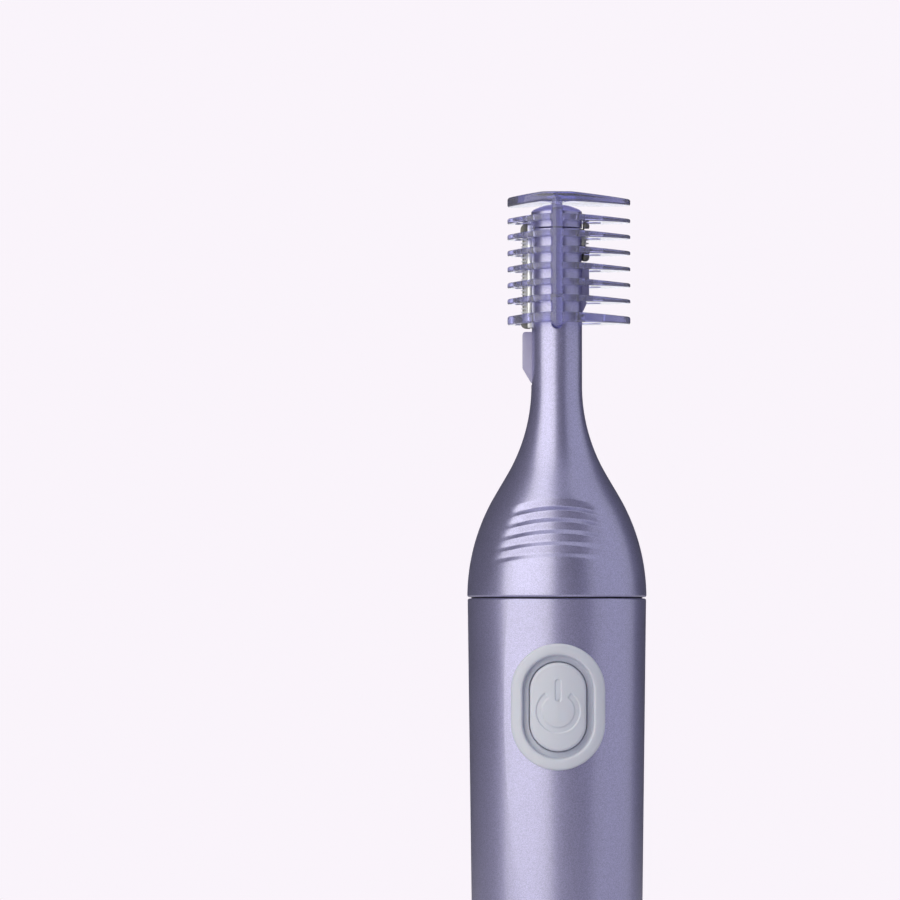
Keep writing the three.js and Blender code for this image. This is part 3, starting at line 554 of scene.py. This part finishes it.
def holder_piece(name, blade):
    """Dark end guards, a dark backing plate behind the blades that paints the shadow seen in the gaps
    between the teeth, and a thin dark bar beside the steel strip that paints the shadow of the step at its
    edge.
    """
    low, high = box_mm(blade["holder"])
    side, end = blade["side"], blade["end"]
    outer = max(abs(low.x), abs(high.x))
    clear = BARREL_R + 0.12
    root = min(abs(low.x), abs(high.x))
    bend = min(end, outer - clear) * 0.62
    bottom = [(clear, low.z)] + fillet((outer - bend, low.z + bend), bend, -90, 0, 8)
    bottom += [(outer, low.z + end), (clear, low.z + end)]
    top = [(clear, high.z - end), (outer, high.z - end)]
    top += fillet((outer - bend, high.z - bend), bend, 0, 90, 8) + [(clear, high.z)]
    # the dark backing that paints the shadow behind the teeth stops this far short of their tips
    shadow_backing_end = outer - blade["open"]
    line = outer - GUARD_WIDTH

    def plate(part, near, far, bottom_z, top_z, y_low, y_high):
        corners = [(near, bottom_z), (far, bottom_z), (far, top_z), (near, top_z)]
        return slab(name + part, mirrored(side, corners), y_low, y_high, 0.03, 2)

    parts = [
        slab(name, mirrored(side, bottom), low.y, high.y, 0.16, 3),
        slab(name + "_top", mirrored(side, top), low.y, high.y, 0.16, 3),
        # painted shadow: a dark plate behind the teeth so that the gaps between them read dark
        plate("_shadow_back", clear, shadow_backing_end, low.z + 0.2, high.z - 0.2, SHADOW_BACKING_Y, high.y - 0.02),
        plate("_root", root, clear + 0.2, low.z + 0.1, END_CAP_Z - 0.4, SHADOW_BACKING_Y, high.y - 0.02),
    ]
    if blade["strip"]:
        # painted shadow: a thin dark bar along the strip's edge
        parts.append(plate("_shadow_line", line - 0.1, line, low.z + end, high.z - end, *SHADOW_LINE_Y))
    return joined(name, parts)


def comb_outline(root, gum, reach, low, high, count, pitch):
    """The outline of a blade with pointed teeth."""
    middle = (low + high) / 2
    points = [(root, low), (gum, low)]
    tooth = list(zip((gum, reach - TOOTH_TIP, reach), TOOTH_HALVES))
    for i in range(count):
        z = middle + (i - (count - 1) / 2) * pitch
        points += [(x, z - pitch * half) for x, half in tooth]
        points += [(x, z + pitch * half) for x, half in reversed(tooth)]
    return points + [(gum, high), (root, high)]


def blade_piece(name, blade, node, count, reach_shadow_back):
    """One of a pair of toothed blades, as wide and as thick as its CAD node."""
    low, high = box_mm(node)
    side = blade["side"]
    reach = max(abs(low.x), abs(high.x))
    gum = reach - blade["gum"] + reach_shadow_back
    outline = comb_outline(BARREL_R - 0.7, gum, reach, low.z, high.z, count, blade["pitch"])
    return slab(name, mirrored(side, outline), low.y, high.y, 0.03, 1)


def steel_strip(name, blade):
    """The bright edge of the fixed blade that lies between the barrel and the teeth."""
    low, high = box_mm(blade["holder"])
    side = blade["side"]
    outer = max(abs(low.x), abs(high.x))
    near, far = BARREL_R - 0.25, outer - GUARD_WIDTH - 0.11
    corners = [(near, low.z + 0.12), (far, low.z + 0.12), (far, high.z - 0.08), (near, high.z - 0.08)]
    return slab(name, mirrored(side, corners), *STRIP_Y, 0.05, 2)


# ---- comb guard ----------------------------------------------------------------------
COMB_BORE = BARREL_R + 0.3
COMB_SLOT = (-6.2, 6.6, 1.3)       # ends and half width of the opening for the blades
COMB_PITCH = 2.43
COMB_THIN = 6                      # fins between the foot and the roof
COMB_TOP_DROP = 0.1
ROOF_THICK = 1.45
FOOT_RISE = 1.4                    # from the comb's lower end to the level of its foot
FOOT_FIN = (1.55, 1.3, 1.1, 0.0)   # thickness in the middle and at the tips, and rise
THIN_FIN = (1.08, 0.82, 0.58, 0.44)
TONGUE_HALF = 0.79
TONGUE_NEAR = 3.5
TONGUE_ROUNDING = ((0.42, 1.0), (0.16, 0.86), (0.03, 0.55), (0.0, 0.2))    # depth, share of the width


def bezier(start, control, end, steps):
    t = np.linspace(0, 1, steps, endpoint=False)[:, None]
    start, control, end = (np.array(v, float) for v in (start, control, end))
    return start * (1 - t) ** 2 + 2 * control * t * (1 - t) + end * t ** 2


def comb_reach(turns):
    """Distance from the axis to the comb's outline in plan, at each angle."""
    left, right, depth = COMB_LOW.x + 0.02, COMB_HIGH.x - 0.02, COMB_HIGH.y - 0.15
    near = np.concatenate([
        bezier((left, 0), (left, -1.5), (left + 0.45, -1.75), 12),
        bezier((left + 0.45, -1.75), (-4.2, -depth), (0, -depth), 60),
        bezier((0, -depth), (5.4, -depth), (right - 0.6, -1.9), 80),
        bezier((right - 0.6, -1.9), (right, -1.6), (right, 0), 12),
        [(right, 0)],
    ])
    angle = np.arctan2(-near[:, 1], near[:, 0])
    reach = np.hypot(near[:, 0], near[:, 1])
    order = np.argsort(angle)
    folded = np.abs(np.angle(np.exp(1j * turns)))
    return np.interp(folded, angle[order], reach[order])


def comb_hole(turns):
    """Distance from the axis to the edge of the hole for the barrel and the blades."""
    cosine, sine = np.cos(turns), np.abs(np.sin(turns))
    end = np.where(cosine > 0, COMB_SLOT[1], -COMB_SLOT[0])
    slot = np.minimum(end / np.maximum(np.abs(cosine), 1e-6), COMB_SLOT[2] / np.maximum(sine, 1e-6))
    return np.maximum(COMB_BORE, slot)


def outward(x, flat=0.0):
    """0 at the comb's middle, 1 at its left or right tip."""
    right = (x - flat) / (COMB_HIGH.x - flat)
    left = (-x - flat) / (-COMB_LOW.x - flat)
    return np.clip(np.where(x > 0, right, left), 0, 1)


def by_side(x, left, right):
    return np.where(x > 0, right, left)


def thin_fin(middle, left_tip, right_tip, rise):
    """Height of a fin's upper and lower face above its level, arched a little and thinner at the tips."""
    def faces(x, share):
        thick = middle + (by_side(x, left_tip, right_tip) - middle) * smoothstep(outward(x, 1.5))
        return thick * share + rise - by_side(x, 0.41, 0.35) * (outward(x) ** 1.6 - 0.15)
    return faces


def roof_fin(x, share):
    """The closed top: flat in the middle, then sloping down to thinner tips."""
    top = -by_side(x, 0.68, 0.92) * outward(x, 2.2)
    under = -ROOF_THICK - by_side(x, 0.6, 0.35) * outward(x, 2.2)
    return under + (top - under) * (share + 0.5)


def comb_plate(level, faces_at, with_hole=True):
    """Points and faces of one fin, in millimetres."""
    turns = crowded_turns(420, (0, 180), 5.0, 16)
    outer = comb_reach(turns)
    floor = comb_hole(turns) if with_hole else outer * 0.02
    rows = []

    def row(reach, share):
        x, y = reach * np.cos(turns), reach * np.sin(turns)
        rows.append(np.stack([x, y, level + faces_at(x, share)], axis=-1))

    for inset, share in ((0.0, 0.30), (0.0, -0.30), (0.05, -0.42), (0.14, -0.5)):
        row(outer - inset, share)
    span = floor - outer + 0.14
    for t in (0.15, 0.35, 0.6, 0.85, 1.0):
        row(outer - 0.14 + span * t, -0.5)
    for t in (1.0, 0.85, 0.6, 0.35, 0.15, 0.0):
        row(outer - 0.14 + span * t, 0.5)
    row(outer - 0.05, 0.42)
    grid = np.array(rows)
    return grid.reshape(-1, 3), loop_faces(len(rows), len(turns), True)


def spine_solid(side):
    """The rail tongue that holds the fins together, with a round lower end."""
    half = TONGUE_HALF
    low = COMB_LOW.z + 0.02
    high = COMB_HIGH.z - 1.0
    outline = [(half, high), (-half, high)]
    outline += fillet((0, low + half), half, 180, 360, 12)
    count = len(outline)
    far = COMB_HIGH.y - 0.02
    layers = [(side * TONGUE_NEAR, 1.0)]
    layers += [(side * (far - depth), share) for depth, share in TONGUE_ROUNDING]
    points = []
    for y, share in layers:
        points += [(x * share, y, max(z, low + half + (z - low - half) * share)) for x, z in outline]
    last = len(layers) - 1
    faces = [tuple(range(count)), tuple(last * count + i for i in range(count))]
    for layer in range(last):
        base = layer * count
        faces += [(base + i, base + (i + 1) % count, base + count + (i + 1) % count, base + count + i)
                  for i in range(count)]
    return np.array(points, float), faces


def comb_piece():
    """The fins and tongues as one body of clear plastic with small fillets where they meet."""
    foot = COMB_LOW.z + FOOT_RISE
    solids = [comb_plate(foot, thin_fin(*FOOT_FIN))]
    for i in range(1, COMB_THIN + 1):
        solids.append(comb_plate(foot + i * COMB_PITCH, thin_fin(*THIN_FIN)))
    solids.append(comb_plate(COMB_HIGH.z - COMB_TOP_DROP, roof_fin, with_hole=False))
    solids += [spine_solid(-1), spine_solid(1)]
    points, faces = [], []
    for solid_points, solid_faces in solids:
        offset = len(points)
        points.extend(map(tuple, solid_points))
        faces.extend(tuple(offset + i for i in face) for face in solid_faces)
    mesh = bpy.data.meshes.new("comb_guard_clear")
    mesh.from_pydata(points, [], faces)
    obj = bpy.data.objects.new("comb_guard_clear", mesh)
    bpy.context.scene.collection.objects.link(obj)
    work = bmesh.new()
    work.from_mesh(mesh)
    bmesh.ops.recalc_face_normals(work, faces=work.faces)
    work.to_mesh(mesh)
    work.free()
    voxel = 0.1
    settle(obj, ("REMESH", {"mode": "VOXEL", "voxel_size": voxel, "use_smooth_shade": True}),
           ("SMOOTH", {"factor": 0.5, "iterations": 5}),
           ("DECIMATE", {"decimate_type": "COLLAPSE", "ratio": 0.3}))
    for vertex in obj.data.vertices:
        vertex.co *= MM
    obj.data.update()
    tidy_normals(obj, 50)
    return obj


# ---- materials -----------------------------------------------------------------------
def new_material(name, color, roughness, metallic=0.0, **sockets):
    material = bpy.data.materials.new(name)
    material.use_nodes = True
    shader = material.node_tree.nodes["Principled BSDF"]
    shader.inputs["Base Color"].default_value = (*color, 1.0)
    shader.inputs["Roughness"].default_value = roughness
    shader.inputs["Metallic"].default_value = metallic
    for key, value in sockets.items():
        shader.inputs[key.replace("_", " ")].default_value = value
    return material, shader


def add_node(material, kind, **settings):
    node = material.node_tree.nodes.new(kind)
    for key, value in settings.items():
        if key in node.inputs:
            node.inputs[key].default_value = value
        else:
            setattr(node, key, value)
    return node


def link(material, source, target):
    material.node_tree.links.new(source, target)


def noise(material, scale, detail=3.0, roughness=0.55, stretch=None):
    """A noise texture in object space, with scale per metre."""
    place = add_node(material, "ShaderNodeTexCoord")
    texture = add_node(material, "ShaderNodeTexNoise", Scale=scale, Detail=detail, Roughness=roughness)
    source = place.outputs["Object"]
    if stretch:
        mapping = add_node(material, "ShaderNodeMapping")
        mapping.inputs["Scale"].default_value = stretch
        link(material, source, mapping.inputs["Vector"])
        source = mapping.outputs["Vector"]
    link(material, source, texture.inputs["Vector"])
    return texture.outputs["Fac"]


def ramp(material, source, low, high, stops=(0.3, 0.7)):
    """Maps a value onto two colours."""
    node = add_node(material, "ShaderNodeValToRGB")
    node.color_ramp.elements[0].position = stops[0]
    node.color_ramp.elements[1].position = stops[1]
    node.color_ramp.elements[0].color = (*low, 1.0)
    node.color_ramp.elements[1].color = (*high, 1.0)
    link(material, source, node.inputs["Fac"])
    return node.outputs["Color"]


def spread(material, source, low, high):
    node = add_node(material, "ShaderNodeMapRange")
    node.inputs["From Min"].default_value = 0.3
    node.inputs["From Max"].default_value = 0.7
    node.inputs["To Min"].default_value = low
    node.inputs["To Max"].default_value = high
    link(material, source, node.inputs["Value"])
    return node.outputs["Result"]


def bump(material, shader, *layers):
    """Stacks bump layers given as (height source, strength, distance in metres)."""
    last = None
    for source, strength, distance in layers:
        node = add_node(material, "ShaderNodeBump", Strength=strength, Distance=distance)
        link(material, source, node.inputs["Height"])
        if last is not None:
            link(material, last, node.inputs["Normal"])
        last = node.outputs["Normal"]
    link(material, last, shader.inputs["Normal"])


def shade(color, factor):
    return tuple(min(1.0, channel * factor) for channel in color)


def grained(name, color, roughness, metallic=0.0, grain=9000, depth=4e-6, vary=0.06, **sockets):
    """A plastic or metal with fine grain, faint mottling and uneven gloss."""
    material, shader = new_material(name, color, roughness, metallic, **sockets)
    mottle = noise(material, grain / 30, 4.0)
    link(material, ramp(material, mottle, shade(color, 1 - vary), shade(color, 1 + vary)),
         shader.inputs["Base Color"])
    fine = noise(material, grain, 2.0)
    link(material, spread(material, mottle, roughness * 0.9, roughness * 1.12), shader.inputs["Roughness"])
    bump(material, shader, (fine, 0.35, depth))
    return material


PAINT_COLOR = (0.30, 0.292, 0.54)


def paint_material():
    """Metallic lavender paint: bright and dark flakes under a satin clear coat."""
    material, shader = new_material("metallic_lavender_paint", PAINT_COLOR, 0.38, 0.75,
                                    Coat_Weight=0.8, Coat_Roughness=0.24, Coat_IOR=2.0)
    flake_place = add_node(material, "ShaderNodeTexCoord")
    flakes = add_node(material, "ShaderNodeTexVoronoi", Scale=11000.0)
    link(material, flake_place.outputs["Object"], flakes.inputs["Vector"])
    split = add_node(material, "ShaderNodeSeparateColor")
    link(material, flakes.outputs["Color"], split.inputs["Color"])
    dark, bright = shade(PAINT_COLOR, 0.84), shade(PAINT_COLOR, 1.18)
    tone = ramp(material, split.outputs["Red"], dark, bright, (0.1, 0.9))
    link(material, tone, shader.inputs["Base Color"])
    cloud = noise(material, 160, 3.0)
    link(material, spread(material, cloud, 0.36, 0.41), shader.inputs["Roughness"])
    peel = noise(material, 1500, 2.0)
    bump(material, shader, (peel, 0.12, 3e-6), (split.outputs["Green"], 0.10, 4e-6))
    return material


def comb_material():
    """Clear plastic with a lavender tint that deepens with thickness."""
    material, shader = new_material("clear_lavender_plastic", (0.68, 0.68, 0.88), 0.08, 0.0,
                                    Transmission_Weight=0.86, IOR=1.46)
    cloud = noise(material, 600, 2.0)
    link(material, spread(material, cloud, 0.05, 0.11), shader.inputs["Roughness"])
    ripple = noise(material, 900, 2.0)
    bump(material, shader, (ripple, 0.10, 8e-6))
    depth = add_node(material, "ShaderNodeVolumeAbsorption", Density=320.0)
    depth.inputs["Color"].default_value = (0.32, 0.33, 0.64, 1.0)
    output = material.node_tree.nodes["Material Output"]
    link(material, depth.outputs["Volume"], output.inputs["Volume"])
    return material


def steel_material(name, color, roughness, stretch):
    """Ground steel with fine scratches."""
    material, shader = new_material(name, color, roughness, 1.0, Anisotropic=0.3)
    lines = noise(material, 3000, 2.0, 0.5, stretch)
    link(material, spread(material, lines, roughness * 0.9, roughness * 1.15), shader.inputs["Roughness"])
    tone = ramp(material, lines, shade(color, 0.95), shade(color, 1.03))
    link(material, tone, shader.inputs["Base Color"])
    bump(material, shader, (lines, 0.1, 2e-6))
    return material


def board_material():
    """Solder mask with tracks that show as slightly lighter bands."""
    material, shader = new_material("green_board", (0.03, 0.17, 0.08), 0.35)
    place = add_node(material, "ShaderNodeTexCoord")
    bricks = add_node(material, "ShaderNodeTexBrick", Scale=260.0)
    bricks.inputs["Color1"].default_value = (0.03, 0.17, 0.08, 1)
    bricks.inputs["Color2"].default_value = (0.04, 0.2, 0.09, 1)
    bricks.inputs["Mortar"].default_value = (0.07, 0.27, 0.13, 1)
    link(material, place.outputs["Object"], bricks.inputs["Vector"])
    link(material, bricks.outputs["Color"], shader.inputs["Base Color"])
    bump(material, shader, (bricks.outputs["Fac"], 0.2, 1e-5))
    return material


def cell_material():
    """A printed battery sleeve: a dark band, a copper-coloured band and bare steel ends."""
    material, shader = new_material("cell_sleeve", (0.1, 0.12, 0.25), 0.3, 0.6)
    place = add_node(material, "ShaderNodeTexCoord")
    split = add_node(material, "ShaderNodeSeparateXYZ")
    link(material, place.outputs["Object"], split.inputs["Vector"])
    low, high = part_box("battery_cell")
    band = add_node(material, "ShaderNodeMapRange")
    band.inputs["From Min"].default_value = low.z
    band.inputs["From Max"].default_value = high.z
    link(material, split.outputs["Z"], band.inputs["Value"])
    colors = add_node(material, "ShaderNodeValToRGB")
    colors.color_ramp.interpolation = "CONSTANT"
    steps = [(0.0, (0.55, 0.55, 0.56)), (0.03, (0.06, 0.07, 0.16)), (0.70, (0.50, 0.25, 0.12)),
             (0.95, (0.58, 0.58, 0.6))]
    for place_at, color in steps[2:]:
        colors.color_ramp.elements.new(place_at).color = (*color, 1)
    for element, (place_at, color) in zip(colors.color_ramp.elements, steps):
        element.position = place_at
        element.color = (*color, 1)
    link(material, band.outputs["Result"], colors.inputs["Fac"])
    link(material, colors.outputs["Color"], shader.inputs["Base Color"])
    scuff = noise(material, 900, 3.0)
    link(material, spread(material, scuff, 0.25, 0.4), shader.inputs["Roughness"])
    return material


def winding_material():
    """Enamelled copper wire wound on the armature."""
    material, shader = new_material("copper_winding", (0.62, 0.28, 0.12), 0.3, 1.0)
    wave = add_node(material, "ShaderNodeTexWave", Scale=1500.0, Distortion=1.5)
    wave.bands_direction = "Z"
    place = add_node(material, "ShaderNodeTexCoord")
    link(material, place.outputs["Object"], wave.inputs["Vector"])
    link(material, ramp(material, wave.outputs["Fac"], (0.35, 0.14, 0.06), (0.72, 0.34, 0.16)),
         shader.inputs["Base Color"])
    bump(material, shader, (wave.outputs["Fac"], 0.6, 4e-5))
    return material


BLADE_GRINDING = (1.0, 1.0, 0.08)  # scratches run along the blades

PAINT = paint_material()
CLEAR = comb_material()
FIN_PLASTIC = grained("lavender_plastic", (0.33, 0.315, 0.52), 0.42, vary=0.05)
SOFT_GREY = grained("soft_grey", (0.52, 0.545, 0.69), 0.42, grain=5000, depth=8e-6, vary=0.02,
                    Sheen_Weight=0.15, Subsurface_Weight=0.1, Subsurface_Scale=0.0008)
BLADE_STEEL = steel_material("blade_steel", (0.76, 0.775, 0.86), 0.3, BLADE_GRINDING)
# painted shade: the short blade's steel is a much darker copy of the long blade's, because the short blade
# is turned away from the light and reads darker
SHADED_SHORT_STEEL = steel_material("short_blade_painted_shade_steel", (0.34, 0.345, 0.35), 0.32, BLADE_GRINDING)
PLATED_STEEL = steel_material("plated_steel", (0.60, 0.60, 0.61), 0.3, (1.0, 1.0, 0.1))
DARK_TRIM = grained("dark_trim", (0.17, 0.17, 0.165), 0.38, 0.45, vary=0.18)
MAGNET = grained("magnet", (0.07, 0.07, 0.075), 0.6, 0.3, grain=6000, depth=1e-5, vary=0.2)
BLACK_PLASTIC = grained("black_plastic", (0.022, 0.022, 0.025), 0.45, vary=0.2)
WHITE_PLASTIC = grained("white_plastic", (0.76, 0.76, 0.72), 0.4, vary=0.03,
                        Subsurface_Weight=0.15, Subsurface_Scale=0.0008)
BRASS = steel_material("contact_brass", (0.66, 0.48, 0.22), 0.28, (1.0, 1.0, 0.15))
RED_WIRE = grained("red_wire", (0.45, 0.03, 0.03), 0.4, vary=0.08)
BLACK_WIRE = grained("black_wire", (0.02, 0.02, 0.02), 0.4, vary=0.15)
RUBBER = grained("black_rubber", (0.015, 0.015, 0.016), 0.7, grain=4000, depth=1.2e-5, vary=0.25)

CARRIED_OVER = {
    PLATED_STEEL: ("long_blade_spring", "short_blade_spring", "rocker_pin", "left_bracket_screw",
                   "right_bracket_screw", "motor_can", "motor_shaft", "negative_spring"),
    MAGNET: ("motor_magnet",),
    BLACK_PLASTIC: ("rocker_bracket", "chassis", "switch_body", "battery_sleeve"),
    WHITE_PLASTIC: ("drive_rod", "rod_guide", "rocker_lever", "eccentric_cam", "motor_end_bell",
                    "switch_plunger"),
    BRASS: ("motor_bearing", "left_motor_terminal", "right_motor_terminal", "positive_contact",
            "return_strip", "cap_contact_plate"),
    winding_material(): ("motor_armature",),
    board_material(): ("switch_board",),
    cell_material(): ("battery_cell",),
    RED_WIRE: ("left_motor_wire",),
    BLACK_WIRE: ("right_motor_wire",),
    RUBBER: ("neck_seal_ring", "cap_seal_ring"),
}


def dress_carried_over():
    """Gives a material to each CAD piece that is shown as it is."""
    for material, nodes in CARRIED_OVER.items():
        for node in nodes:
            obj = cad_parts[node]
            if not obj.data.materials:
                obj.data.materials.append(material)
            for slot in obj.material_slots:
                slot.material = material
            for polygon in obj.data.polygons:
                polygon.material_index = 0


# ---- build ---------------------------------------------------------------------------
def build_trimmer():
    add_piece(neck_shell(), "handle", PAINT, "lavender_paint", "neck_housing")
    add_piece(end_cap_shell(), "handle", PAINT, "lavender_paint", "head_end_cap")
    add_piece(body_shell(), "handle", PAINT, "lavender_paint", "body_housing")
    # painted shadow: a black ring in the seam gap, sharing the black rubber material
    add_piece(seam_shadow_ring(), "handle", RUBBER, "black_rubber")
    add_piece(cap_shell(), "battery_cap", PAINT, "lavender_paint", "battery_cap")
    add_piece(bezel_ring(), "handle", SOFT_GREY, "soft_grey", "button_bezel")
    add_piece(button_pad(), "power_button", SOFT_GREY, "soft_grey", "power_button")
    add_piece(fin_piece("left_fin", "left_guide_fin"), "handle", FIN_PLASTIC, "lavender_plastic",
              "left_guide_fin")
    add_piece(fin_piece("right_fin", "right_guide_fin"), "handle", FIN_PLASTIC, "lavender_plastic",
              "right_guide_fin")
    for prefix, blade in (("long", LONG_BLADE), ("short", SHORT_BLADE)):
        holder = holder_piece(prefix + "_holder", blade)
        add_piece(holder, "handle", DARK_TRIM, "dark_trim", blade["holder"])
        fixed = blade_piece(prefix + "_guard_teeth", blade, blade["fixed"], blade["teeth"], 0.0)
        if blade["strip"]:
            fixed = joined(prefix + "_guard_teeth", [fixed, steel_strip(prefix + "_strip", blade)])
        # the short blade gets the darker steel with painted shade
        steel = BLADE_STEEL if blade["strip"] else SHADED_SHORT_STEEL
        add_piece(fixed, "handle", steel, "blade_steel", blade["fixed"])
        moving = blade_piece(prefix + "_cutter_teeth", blade, blade["moving"], blade["teeth"] - 2, 0.05)
        add_piece(moving, "blade_drive", steel, "blade_steel", blade["moving"])
    add_piece(comb_piece(), "comb_guard", CLEAR, "clear_lavender", "comb_guard")


# ---- studio --------------------------------------------------------------------------
CAMERA_AWAY = 0.78
CAMERA_X = -0.0122
CAMERA_Z = 0.085
AIM = (-0.0161, 0.0, 0.1102)       # the head stands right of the frame's middle
FRAME_WIDTH = 0.1357               # width seen at the axis
SENSOR = 36.0
PANEL_AWAY = 0.62                  # distance and middle height of the two tall side panels
PANEL_Z = 0.5
BACKDROP = (0.955, 0.905, 0.965, 1)
GLOW = (0.9, 0.88, 1.0, 1)
GLOW_STRENGTH = 0.06
FLOOR_R = 0.66
FLOOR_DROP = 0.0002


def make_camera():
    data = bpy.data.cameras.new("camera")
    camera = bpy.data.objects.new("camera", data)
    bpy.context.scene.collection.objects.link(camera)
    bpy.context.scene.camera = camera
    data.sensor_width = SENSOR
    data.lens = SENSOR * CAMERA_AWAY / FRAME_WIDTH
    camera.location = (CAMERA_X, -CAMERA_AWAY, CAMERA_Z)
    camera.rotation_mode = "QUATERNION"
    camera.rotation_quaternion = (Vector(AIM) - camera.location).to_track_quat("-Z", "Y")
    data.clip_start = 0.01


def area_light(name, place, target, size, power, color=(1, 1, 1)):
    data = bpy.data.lights.new(name, "AREA")
    data.shape = "RECTANGLE"
    data.size, data.size_y = size
    data.energy = power
    data.color = color
    lamp = bpy.data.objects.new(name, data)
    bpy.context.scene.collection.objects.link(lamp)
    lamp.location = place
    lamp.rotation_mode = "QUATERNION"
    lamp.rotation_quaternion = (Vector(target) - Vector(place)).to_track_quat("-Z", "Y")
    lamp.visible_camera = False


def around(azimuth, distance, height):
    """A place at an angle from the camera's side: negative is to the left."""
    turn = math.radians(azimuth)
    return (distance * math.sin(turn), -distance * math.cos(turn), height)


def make_lights():
    middle = (0, 0, 0.09)
    level = (0, 0, PANEL_Z)
    area_light("key", around(-40, PANEL_AWAY, PANEL_Z), level, (0.84, 1.8), 11.2, (1.0, 0.975, 0.82))
    area_light("fill_right", around(78, PANEL_AWAY, PANEL_Z), level, (0.95, 1.8), 3.7, (0.97, 0.97, 1.0))
    area_light("back", around(180, 0.9, 0.12), middle, (0.24, 0.9), 0.7)
    area_light("top", (0.0, 0.0, 1.1), middle, (0.9, 0.9), 2.0)


def make_world():
    """Pale where it is seen directly or through clear plastic, and dim in reflections."""
    world = bpy.data.worlds.new("studio")
    bpy.context.scene.world = world
    world.use_nodes = True
    tree = world.node_tree
    tree.nodes.clear()
    rays = tree.nodes.new("ShaderNodeLightPath")
    clear = tree.nodes.new("ShaderNodeMath")
    clear.operation = "MAXIMUM"
    tree.links.new(rays.outputs["Is Camera Ray"], clear.inputs[0])
    tree.links.new(rays.outputs["Is Transmission Ray"], clear.inputs[1])
    seen = tree.nodes.new("ShaderNodeBackground")
    seen.inputs["Color"].default_value = BACKDROP
    seen.inputs["Strength"].default_value = 1.0
    glow = tree.nodes.new("ShaderNodeBackground")
    glow.inputs["Color"].default_value = GLOW
    glow.inputs["Strength"].default_value = GLOW_STRENGTH
    mix = tree.nodes.new("ShaderNodeMixShader")
    output = tree.nodes.new("ShaderNodeOutputWorld")
    tree.links.new(clear.outputs["Value"], mix.inputs["Fac"])
    tree.links.new(glow.outputs["Background"], mix.inputs[1])
    tree.links.new(seen.outputs["Background"], mix.inputs[2])
    tree.links.new(mix.outputs["Shader"], output.inputs["Surface"])


def make_floor():
    """A pale round floor, a hair under the trimmer's base."""
    work = bmesh.new()
    bmesh.ops.create_circle(work, cap_ends=True, segments=96, radius=FLOOR_R)
    mesh = bpy.data.meshes.new("studio_floor")
    work.to_mesh(mesh)
    work.free()
    floor = bpy.data.objects.new("studio_floor", mesh)
    bpy.context.scene.collection.objects.link(floor)
    floor.location.z = -FLOOR_DROP
    material = grained("floor_paper", (0.93, 0.91, 0.945), 0.8, grain=300, depth=2e-5, vary=0.01)
    mesh.materials.append(material)


dress_carried_over()
build_trimmer()
make_camera()
make_lights()
make_world()
make_floor()
scene = bpy.context.scene
scene.view_settings.view_transform = "Standard"
